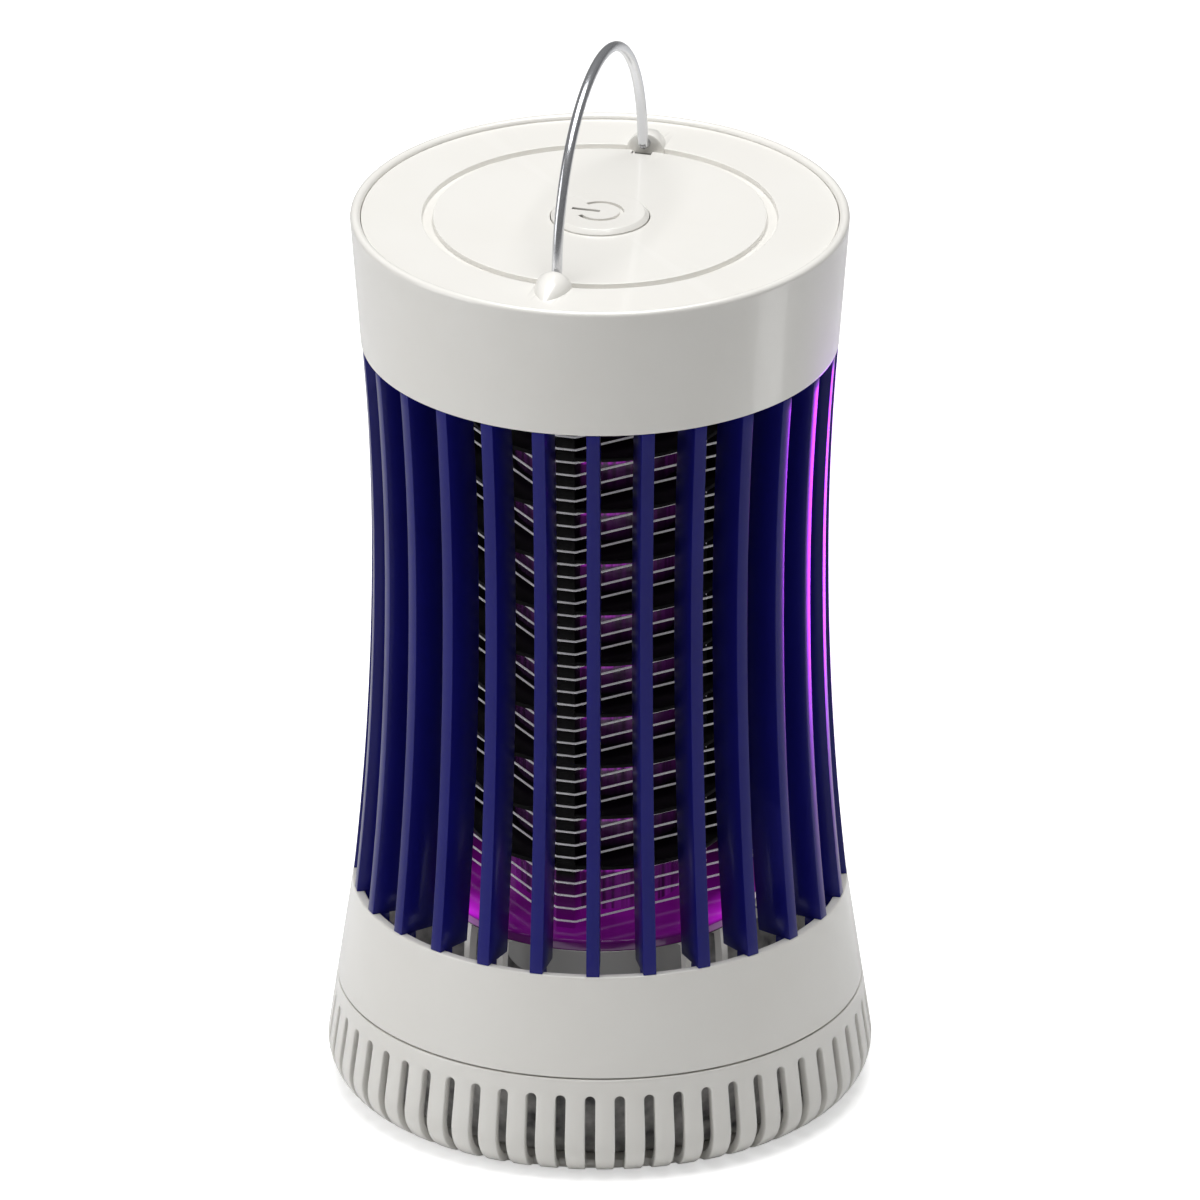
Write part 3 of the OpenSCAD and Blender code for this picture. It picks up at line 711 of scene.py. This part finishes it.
baseShell = {"seam": 0.3, "spigotRadius": 54.9, "spigotWall": 1.6, "ledgeRadius": 49.0, "ledgeThickness": 2.0,
             "carrierLedge": 26.0, "softRim": 0.45, "softSeam": 0.25, "softLedge": 0.2, "softSpigot": 0.3}
shellLow = topOf("tray_shell") + baseShell["seam"]
shellTop = topOf("base_shell")
spigotLow = lowOf("base_shell")
spigotOut = baseShell["spigotRadius"]
spigotIn = spigotOut - baseShell["spigotWall"]
rimOut = baseForm["rimRadius"]
rimIn = rimOut - baseForm["wall"]
ringLow = lowOf("lower_fin_ring")
ledgeLow = ringLow - baseShell["ledgeThickness"]
carrierZ = baseShell["carrierLedge"]
shellOutline = roundedOutline([
    (sideRadius(shellLow), shellLow, baseShell["softSeam"]), (rimOut, shellTop, baseShell["softRim"]),
    (rimIn, shellTop, baseShell["softRim"]), (rimIn, ringLow, 0),
    (baseShell["ledgeRadius"], ringLow, baseShell["softLedge"]),
    (baseShell["ledgeRadius"], ledgeLow, baseShell["softLedge"]),
    (sideRadius(ledgeLow, baseForm["wall"]), ledgeLow, 0),
    (sideRadius(carrierZ, baseForm["wall"]), carrierZ, 0), (spigotIn, carrierZ, baseShell["softLedge"]),
    (spigotIn, spigotLow, baseShell["softSpigot"]), (spigotOut, spigotLow, baseShell["softSpigot"]),
    (spigotOut, shellLow, 0)])
addSpun("baseShell", shellOutline, "upper_unit", "white_plastic", "base_shell")
print("base ready")


# ---- carrier, pedestal and glowing disk

diskCarrier = {"softness": 0.25}
carrier = makePiece("diskCarrier", cleanCopy("disk_carrier", "diskCarrier"), "white_plastic")
settle(soften(carrier, diskCarrier["softness"]), "upper_unit", "white_plastic", "disk_carrier")

diskPedestal = {"wall": 1.6, "softTop": 0.3, "softness": 0.5}
pedestalOut = reachOf("disk_pedestal")
pedestalIn = pedestalOut - diskPedestal["wall"]
pedestalLow = lowOf("disk_pedestal")
pedestalTop = topOf("disk_pedestal")
pedestalRoof = pedestalTop - diskPedestal["wall"]
pedestalOutline = roundedOutline([
    (0, pedestalTop, 0), (pedestalOut, pedestalTop, diskPedestal["softTop"]),
    (pedestalOut, pedestalLow, diskPedestal["softness"]), (pedestalIn, pedestalLow, diskPedestal["softness"]),
    (pedestalIn, pedestalRoof, diskPedestal["softness"]), (0, pedestalRoof, 0)])
addSpun("diskPedestal", pedestalOutline, "upper_unit", "grey_plastic", "disk_pedestal", 128)

glowDisk = {"softness": 0.6}
diskR = reachOf("glow_disk")
diskLow = lowOf("glow_disk")
diskTop = topOf("glow_disk")
diskOutline = roundedOutline([
    (0, diskTop, 0), (diskR, diskTop, glowDisk["softness"]), (diskR, diskLow, glowDisk["softness"]),
    (0, diskLow, 0)])
addSpun("glowDisk", diskOutline, "upper_unit", "glow_plastic", "glow_disk")
print("disk ready")


# ---- cage of fins

fin = {"count": 27, "firstTurn": -90.0, "thickness": 2.9, "depth": 8.7, "waistRadius": 49.8,
       "waistHeight": 124.0, "lowArc": 730.0, "highArc": 600.0, "steps": 44, "softness": 0.14,
       "tenon": (49.9, 51.9)}
finLow = topOf("base_shell")
finTop = lowOf("cap_shell")


def finRadius(z, depth):
    arc = fin["lowArc"] if z < fin["waistHeight"] else fin["highArc"]
    reach = arc + depth
    return fin["waistRadius"] + arc - math.sqrt(reach ** 2 - (z - fin["waistHeight"]) ** 2)


def makeFinMesh():
    # four long sides that follow the waist, and a block that reaches down to the ring
    form = bmesh.new()
    half = fin["thickness"] / 2
    rings = []
    for k in range(fin["steps"] + 1):
        z = finLow + (finTop - finLow) * k / fin["steps"]
        front = finRadius(z, 0.0)
        back = finRadius(z, fin["depth"])
        corners = [(front, -half), (front, half), (back, half), (back, -half)]
        rings.append([form.verts.new((r * mm, y * mm, z * mm)) for r, y in corners])
    stitch(form, rings, closed=True)
    form.faces.new(rings[0])
    form.faces.new(rings[-1])
    tenonIn, tenonOut = fin["tenon"]
    tenonLow = topOf("lower_fin_ring")
    block = bmesh.ops.create_cube(form, size=1.0)["verts"]
    size = Vector((tenonOut - tenonIn, fin["thickness"], finLow - tenonLow))
    centre = Vector(((tenonIn + tenonOut) / 2, 0, (finLow + tenonLow) / 2))
    bmesh.ops.scale(form, verts=block, vec=size * mm)
    bmesh.ops.translate(form, verts=block, vec=centre * mm)
    bmesh.ops.recalc_face_normals(form, faces=form.faces)
    return meshFrom("fin", form)


finNodes = [n for n in frame["nodes"] if n.startswith("fin_") and n[4:].isdigit()]
cage = repeated("finCage", makeFinMesh(), "fin_plastic", around=fin["count"], firstTurn=fin["firstTurn"],
                softness=fin["softness"])
settle(cage, "upper_unit", "fin_plastic", *finNodes)
print("cage ready:", len(finNodes), "fins")


# ---- killing grid

grid = {"faceDistance": 22.2, "cornerDistance": 29.1, "bendRadius": 0.9, "bendSteps": 3, "wireSides": 6,
        "wireRadius": 0.23, "notchSlack": 0.1, "postIn": 24.6, "postWidth": 4.2, "combSoftness": 0.1,
        "spacers": 10, "spacerRadius": 28.9, "spacerThickness": 1.0, "spacerSteps": 24,
        "spacerSoftness": 0.15, "tubeGap": 0.05}


def loopPath(z):
    # eight sides: four faces at 45 degrees and four short ones at the posts, with small round bends
    inset = wireLevels["thickness"] / 2
    face = (grid["faceDistance"] - inset) * math.sqrt(2)
    cut = grid["cornerDistance"] - inset
    side = face - cut
    corners = []
    for quarter in range(4):
        turned = Matrix.Rotation(math.pi / 2 * quarter, 2)
        for y in (-side, side):
            corners.append((*(turned @ Vector((cut, y))), grid["bendRadius"]))
    return [(p.x, p.y, z) for p in roundedOutline(corners, grid["bendSteps"])]


def makeLoops(name, first, node):
    z = firstWire + wireLevels["thickness"] / 2 + first * wireLevels["pitch"]
    wire = sweep(name, loopPath(z), grid["wireRadius"], grid["wireSides"], (0, 0, 1), closed=True)
    count = (wireLevels["count"] + 1 - first) // 2
    loops = repeated(name, wire, "grid_wire", up=count, pitch=2 * wireLevels["pitch"])
    return settle(loops, "upper_unit", "grid_wire", node)


makeLoops("liveLoops", 0, "live_grid")
makeLoops("groundLoops", 1, "ground_grid")


def makePostMesh():
    # a comb: a full spine and a tooth between each pair of wires
    form = bmesh.new()
    low = lowOf("grid_posts")
    top = topOf("grid_posts")
    notch = wireLevels["thickness"] + grid["notchSlack"]
    toothIn = grid["cornerDistance"] - notch
    levels = [low]
    for k in range(wireLevels["count"]):
        z = firstWire + k * wireLevels["pitch"] - grid["notchSlack"] / 2
        levels += [z, z + notch]
    levels.append(top)
    half = grid["postWidth"] / 2

    def addPanelFace(inner, outer, z0, z1):
        corners = ((inner, z0), (outer, z0), (outer, z1), (inner, z1))
        form.faces.new([form.verts.new((r * mm, -half * mm, z * mm)) for r, z in corners])

    for k, (z0, z1) in enumerate(zip(levels, levels[1:])):
        addPanelFace(grid["postIn"], toothIn, z0, z1)
        if k % 2 == 0:
            addPanelFace(toothIn, grid["cornerDistance"], z0, z1)
    bmesh.ops.remove_doubles(form, verts=form.verts, dist=meshLook["onAxis"])
    grown = bmesh.ops.extrude_face_region(form, geom=list(form.faces))["geom"]
    moved = [v for v in grown if isinstance(v, bmesh.types.BMVert)]
    bmesh.ops.translate(form, verts=moved, vec=(0, grid["postWidth"] * mm, 0))
    bmesh.ops.recalc_face_normals(form, faces=form.faces)
    return meshFrom("combPost", form)


comb = repeated("combPosts", makePostMesh(), "grid_plastic", around=4, softness=grid["combSoftness"])
settle(comb, "upper_unit", "grid_plastic", "grid_posts")


def makeSpacerMesh():
    # a ring with a notch at each post
    form = bmesh.new()
    halfNotch = grid["postWidth"] / 2
    outer = grid["spacerRadius"]
    steps = grid["spacerSteps"]
    edge = math.asin(halfNotch / outer)
    rim = []
    for quarter in range(4):
        start = quarter * math.pi / 2
        for y in (-halfNotch, halfNotch):
            rim.append(Matrix.Rotation(start, 2) @ Vector((grid["postIn"], y)))
        for k in range(steps + 1):
            turn = start + edge + (math.pi / 2 - 2 * edge) * k / steps
            rim.append(Vector((outer * math.cos(turn), outer * math.sin(turn))))
    holeRadius = reachOf("lamp_tube") + grid["tubeGap"]
    hole = [p.normalized() * holeRadius for p in rim]
    low = spacerFirst
    high = spacerFirst + grid["spacerThickness"]
    rows = [[form.verts.new((p.x * mm, p.y * mm, z * mm)) for p in line] for line, z in
            ((hole, low), (rim, low), (rim, high), (hole, high))]
    stitch(form, rows + rows[:1], closed=True)
    bmesh.ops.recalc_face_normals(form, faces=form.faces)
    return meshFrom("spacer", form)


spacers = repeated("spacerDiscs", makeSpacerMesh(), "grid_plastic", up=grid["spacers"], pitch=spacerPitch,
                   softness=grid["spacerSoftness"])
settle(spacers, "upper_unit", "grid_plastic", "spacer_discs")

lampTube = {"wall": 1.5, "softness": 0.3}
tubeOut = reachOf("lamp_tube")
tubeIn = tubeOut - lampTube["wall"]
tubeLow = lowOf("lamp_tube")
tubeTop = topOf("lamp_tube")
tubeCorners = ((tubeOut, tubeLow), (tubeOut, tubeTop), (tubeIn, tubeTop), (tubeIn, tubeLow))
tubeOutline = roundedOutline([(r, z, lampTube["softness"]) for r, z in tubeCorners], 3)
addSpun("lampTube", tubeOutline, "upper_unit", "tube_plastic", "lamp_tube", 128)
print("grid ready")


# ---- cap, top plate and button

capForm = {"lowRadius": 52.0, "topRadius": 54.3, "lipRadius": 1.1, "lipSteps": 10, "wall": 2.0,
           "flangeIn": 41.5, "flangeUp": 6.1, "flangeThickness": 2.0, "flangeSlope": 0.5, "plateSink": 1.0,
           "plateThickness": 2.6, "plateSeat": 3.4, "softLow": 0.4, "softIn": 0.2}
capLow = lowOf("cap_shell")
capTop = topOf("cap_shell")
capInner = capForm["lowRadius"] - capForm["wall"]
lipRadius = capForm["lipRadius"]
lipCentre = capForm["topRadius"] - lipRadius
plateZ = capTop - capForm["plateSink"]
plateLow = plateZ - capForm["plateThickness"]
flangeZ = capLow + capForm["flangeUp"]
flangeTop = flangeZ + capForm["flangeThickness"]
lipZ = capTop - lipRadius
lipTurns = [math.pi * k / capForm["lipSteps"] for k in range(capForm["lipSteps"] + 1)]
softIn = capForm["softIn"]
capOutline = roundedOutline([
    (capInner, capLow, capForm["softLow"]), (capForm["lowRadius"], capLow, capForm["softLow"]),
    *[(lipCentre + lipRadius * math.cos(t), lipZ + lipRadius * math.sin(t), 0) for t in lipTurns],
    (lipCentre - lipRadius, plateLow, 0), (capForm["topRadius"] - capForm["plateSeat"], plateLow, softIn),
    (capInner + capForm["flangeSlope"], flangeTop, 0), (capForm["flangeIn"], flangeTop, softIn),
    (capForm["flangeIn"], flangeZ, softIn), (capInner, flangeZ, 0)])

socketWindow = {"gap": 0.2, "from": 45.0, "to": 58.0}
socketLow, socketHigh = ([v / mm for v in corner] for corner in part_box("charge_socket"))


def blockMesh(name, low, high):
    outline = [(low[0], low[1]), (high[0], low[1]), (high[0], high[1]), (low[0], high[1])]
    return slab(name, outline, low[2], high[2])


windowGap = socketWindow["gap"]
window = blockMesh(
    "socketWindow", (socketLow[0] - windowGap, socketWindow["from"], socketLow[2] - windowGap),
    (socketHigh[0] + windowGap, socketWindow["to"], socketHigh[2] + windowGap))
capMesh = carve(lathe("capShell", capOutline), [window])
addPiece("capShell", capMesh, "upper_unit", "white_plastic", "cap_shell")

topPlate = {"grooveRadius": 38.7, "grooveWidth": 2.4, "grooveDepth": 1.2, "hole": 10.9, "soft": 0.16,
            "recessWidth": 4.4, "recessLength": 3.7, "recessDepth": 1.6, "recessHead": 8.0,
            "bossStart": 38.0, "bossLength": 10.0, "bossWidth": 8.4, "bossUp": 3.3, "bossEase": 0.4,
            "bossSteps": 12, "boreRadius": 1.2, "boreBack": 1.0, "boreLength": 4.5, "pivotUp": 1.15,
            "postX": 16.5, "postRadius": 2.5, "postLap": 0.5}
pivotZ = plateZ + topPlate["pivotUp"]
holeR = topPlate["hole"]
plateR = reachOf("top_plate")
grooveOut = topPlate["grooveRadius"]
grooveIn = grooveOut - topPlate["grooveWidth"]
grooveLow = plateZ - topPlate["grooveDepth"]
plateOutline = roundedOutline([
    (holeR, plateLow, 0), (plateR, plateLow, 0),
    *[(r, z, topPlate["soft"]) for r, z in (
        (plateR, plateZ), (grooveOut, plateZ), (grooveOut, grooveLow), (grooveIn, grooveLow),
        (grooveIn, plateZ), (holeR, plateZ))]], 4)


def layOutward(mesh, way, start, height):
    # turns an upright mesh so that it lies outward along the bail's hinge line
    lay = Matrix.Rotation(math.radians(-90 * way), 4, "X")
    mesh.transform(Matrix.Translation((0, way * start * mm, height * mm)) @ lay)
    return mesh
def bossMesh(way):
    # a boss like half a bullet, with an eased edge at its blunt end
    half = topPlate["bossWidth"] / 2
    length = topPlate["bossLength"]
    ease = topPlate["bossEase"]
    steps = topPlate["bossSteps"]
    arc = (length ** 2 + half ** 2) / topPlate["bossWidth"]
    outline = [(0, 0), (half - ease, 0), (half - 0.3 * ease, 0.3 * ease), (half, ease)]
    for k in range(1, steps):
        along = ease + (length - ease) * k / steps
        outline.append((max(math.sqrt(arc ** 2 - along ** 2) - (arc - half), 0.0), along))
    outline.append((0, length))
    axisZ = plateZ + topPlate["bossUp"] - half
    return layOutward(lathe("boss", outline, 64), way, topPlate["bossStart"], axisZ)


def boreMesh(way):
    bore = rodMesh("bore", topPlate["boreRadius"], 0, topPlate["boreLength"])
    return layOutward(bore, way, topPlate["bossStart"] - topPlate["boreBack"], pivotZ)


def recessMesh(way):
    ends = (way * (topPlate["bossStart"] - topPlate["recessLength"]), way * topPlate["bossStart"])
    half = topPlate["recessWidth"] / 2
    return blockMesh("recess", (-half, min(ends), plateZ - topPlate["recessDepth"]),
                     (half, max(ends), plateZ + topPlate["recessHead"]))


def postMesh(way):
    # a post under the plate that holds the switch board
    post = rodMesh("platePost", topPlate["postRadius"], topOf("switch_board"), plateLow + topPlate["postLap"])
    post.transform(Matrix.Translation((way * topPlate["postX"] * mm, 0, 0)))
    return post


added = [bossMesh(-1), bossMesh(1), postMesh(-1), postMesh(1)]
taken = [recessMesh(-1), recessMesh(1), boreMesh(-1), boreMesh(1)]
plateMesh = carve(carve(lathe("topPlate", plateOutline), added, "UNION"), taken)
addPiece("topPlate", plateMesh, "upper_unit", "white_plastic", "top_plate")

powerButton = {"radius": 10.7, "skirtRadius": 12.2, "skirtHeight": 1.0, "bevel": 0.9, "neck": 0.2,
               "softSkirt": 0.2, "softNeck": 0.15, "soft": 0.35, "signRadius": 4.75, "stroke": 1.0,
               "gap": 40.0, "arcSteps": 48, "barLength": 6.3, "depth": 0.6, "head": 2.0}
buttonLow = lowOf("power_button")
buttonTop = topOf("power_button")
buttonR = powerButton["radius"]
skirtR = powerButton["skirtRadius"]
skirtTop = buttonLow + powerButton["skirtHeight"]
buttonOutline = roundedOutline([
    (0, buttonLow, 0), (skirtR, buttonLow, powerButton["softSkirt"]),
    (skirtR, skirtTop, powerButton["softSkirt"]), (buttonR, skirtTop, 0),
    (buttonR, plateZ + powerButton["neck"], powerButton["softNeck"]),
    (buttonR - powerButton["bevel"], buttonTop, powerButton["soft"]), (0, buttonTop, 0)])


def arcPoints(radius, turns):
    return [(radius * math.cos(t), radius * math.sin(t)) for t in turns]


def engraving(name, outline):
    return slab(name, outline, buttonTop - powerButton["depth"], buttonTop + powerButton["head"])


# the usual power sign: a ring with a gap, and a bar in the gap
halfStroke = powerButton["stroke"] / 2
signR = powerButton["signRadius"]
barEnd = -powerButton["barLength"]
gap = math.radians(powerButton["gap"])
steps = powerButton["arcSteps"]
signTurns = [math.pi + gap + (2 * math.pi - 2 * gap) * k / steps for k in range(steps + 1)]
signArc = arcPoints(signR + halfStroke, signTurns) + arcPoints(signR - halfStroke, reversed(signTurns))
signBar = [(barEnd, -halfStroke), (0, -halfStroke), (0, halfStroke), (barEnd, halfStroke)]
buttonMesh = carve(lathe("powerButton", buttonOutline, 160),
                   [engraving("signArc", signArc), engraving("signBar", signBar)])
addPiece("powerButton", buttonMesh, "button", "white_plastic", "power_button")
print("cap ready")


# ---- bail

bail = {"diameter": 2.3, "radius": 36.0, "bend": 1.7, "bendSteps": 6, "pinEnd": 41.2, "sides": 20,
        "archSteps": 96}


def bailPath():
    # pin, tight bend, half circle, and the same again on the far side
    reach = bail["radius"]
    bend = bail["bend"]
    start = math.asin(bend / reach)
    half = [(bail["pinEnd"], 0.0)]
    for k in range(bail["bendSteps"] + 1):
        angle = math.pi / 2 * k / bail["bendSteps"]
        half.append((reach + bend - bend * math.sin(angle), bend - bend * math.cos(angle)))
    steps = bail["archSteps"]
    arch = arcPoints(reach, [start + (math.pi - 2 * start) * k / steps for k in range(1, steps)])
    far = [(-y, z) for y, z in reversed(half)]
    return [(0, y, pivotZ + z) for y, z in half + arch + far]


bailMesh = sweep("bailHandle", bailPath(), bail["diameter"] / 2, bail["sides"], (1, 0, 0))
addPiece("bailHandle", bailMesh, "bail", "bail_wire", "bail_handle")
print("bail ready")


# ---- the nodes that stay keep their shape and get their finish

for row in frame["record"]["subparts"]:
    keptNode = frame["nodes"][row["node"]]
    if keptNode.hide_render:
        continue
    if not keptNode.material_slots:
        keptNode.data.materials.append(None)
    for entry in keptNode.material_slots:
        entry.material = finishes[row["material_slot"]]
print("kept nodes dressed")


# ---- stage, light and camera

stageLook = {"floorSize": 6.0, "floorDrop": 0.0001, "floorLift": tone(0.5, 0.5, 0.5), "world": 0.12,
             "floorFinish": dict(colour=(0.93, 0.93, 0.93), deep=(0.92, 0.92, 0.92), roughness=0.9,
                                 cloudScale=3.0, specular=0.0, bump=0.0, dust=0.0, highlightAmount=0.0)}


def makeFloor():
    # the floor is lifted a little where it is seen directly, and lights nothing by that
    form = bmesh.new()
    bmesh.ops.create_grid(form, x_segments=8, y_segments=8, size=stageLook["floorSize"] / 2)
    bmesh.ops.translate(form, verts=form.verts, vec=(0, 0, -stageLook["floorDrop"]))
    finishes["floor"] = makeFinish("floor", stageLook["floorFinish"])
    floor = makePiece("floor", meshFrom("floor", form), "floor")
    tree = finishes["floor"].node_tree
    shader = tree.nodes["Principled BSDF"]
    seen = place(tree, "ShaderNodeLightPath").outputs["Is Camera Ray"]
    lift = blendOf(tree, seen, tone(0, 0, 0), stageLook["floorLift"])
    feed(tree, shader.inputs, {"Emission Color": lift, "Emission Strength": 1.0})


def makeWorld():
    world = bpy.data.worlds.new("studio")
    world.use_nodes = True
    backdrop = world.node_tree.nodes["Background"]
    backdrop.inputs["Color"].default_value = tone(1.0, 1.0, 1.0)
    backdrop.inputs["Strength"].default_value = stageLook["world"]
    scene.world = world


makeFloor()
makeWorld()

cameraLook = {"turn": 15.0, "rise": 24.4, "aimHeight": 0.1125, "distance": 10.9, "lens": 1500.6,
              "sensor": 36.0, "farEnd": 100.0}
viewTurn = math.radians(cameraLook["turn"])
viewRise = math.radians(cameraLook["rise"])
rightward = Vector((math.cos(viewTurn), math.sin(viewTurn), 0))
towardView = Vector((math.sin(viewTurn), -math.cos(viewTurn), 0))
aim = Vector((0, 0, cameraLook["aimHeight"]))


def spotAt(right, toward, up):
    # a place to the right of the axis, towards the viewer and up, in metres
    return tuple(right * rightward + toward * towardView + Vector((0, 0, up)))


def addPanel(name, spot, target, width, height, power, colour=(1, 1, 1)):
    lamp = bpy.data.lights.new(name, "AREA")
    lamp.shape = "RECTANGLE"
    lamp.size = width
    lamp.size_y = height
    lamp.energy = power
    lamp.color = colour
    panel = bpy.data.objects.new(name, lamp)
    panel.location = spot
    panel.rotation_euler = (Vector(target) - Vector(spot)).to_track_quat("-Z", "Y").to_euler()
    scene.collection.objects.link(panel)
    return panel


def lightOnly(panel, pieceName):
    # the panel shows only as a gloss on one piece
    panel.visible_camera = False
    panel.visible_diffuse = False
    lit = bpy.data.collections.new(panel.name + "Target")
    lit.objects.link(bpy.data.objects[pieceName])
    panel.light_linking.receiver_collection = lit


panels = {
    "overhead": dict(spot=(0, 0, 1.3), target=(0, 0, 0.1), width=0.9, height=0.9, power=16.3),
    "leftKey": dict(spot=spotAt(-0.95, 0.3, 0.45), target=aim, width=0.6, height=0.7, power=2.8),
}
glossPanels = {
    "windowOnCap": dict(spot=spotAt(0.27, 0.03, 0.03), target=spotAt(0.05, 0.02, 0.19), width=0.09,
                        height=0.16, power=0.06),
    "violetOnCap": dict(spot=spotAt(0.16, -0.25, 0.004), target=spotAt(0.16, -0.25, 1.0), width=0.05,
                        height=0.16, power=0.35, colour=(0.4, 0.02, 1.0)),
    "violetOnFins": dict(spot=spotAt(0.22, -0.22, 0.004), target=spotAt(0.22, -0.22, 1.0), width=0.14,
                         height=0.2, power=1.9, colour=(0.45, 0.012, 1.0)),
}
glossTargets = {"windowOnCap": "capShell", "violetOnCap": "capShell", "violetOnFins": "finCage"}
flatPanelTurn = 37.0
baseFill = {"out": 0.045, "height": 0.036, "targetHeight": 0.037, "width": 0.06, "tall": 0.008,
            "power": 0.002}

for name, look in panels.items():
    addPanel(name, **look)
for name, look in glossPanels.items():
    lightOnly(addPanel(name, **look), glossTargets[name])
for name in ("violetOnFins", "violetOnCap"):
    # these two lie flat and face up
    turn = viewTurn + math.radians(flatPanelTurn)
    bpy.data.objects[name].rotation_euler = (math.pi, 0, turn)
for quarter in range(4):
    spin = Matrix.Rotation(math.pi / 2 * quarter, 3, "Z")
    spot = spin @ Vector(spotAt(0, baseFill["out"], baseFill["height"]))
    target = spin @ Vector(spotAt(0, 0, baseFill["targetHeight"]))
    addPanel("baseFill", spot, target, baseFill["width"], baseFill["tall"], baseFill["power"])

camera = bpy.data.objects.new("camera", bpy.data.cameras.new("camera"))
camera.data.lens = cameraLook["lens"]
camera.data.sensor_width = cameraLook["sensor"]
camera.data.clip_end = cameraLook["farEnd"]
lookBack = math.cos(viewRise) * towardView + Vector((0, 0, math.sin(viewRise)))
camera.location = aim + cameraLook["distance"] * lookBack
camera.rotation_euler = (-lookBack).to_track_quat("-Z", "Y").to_euler()
scene.collection.objects.link(camera)
scene.camera = camera
scene.view_settings.view_transform = "Standard"
print("stage ready")
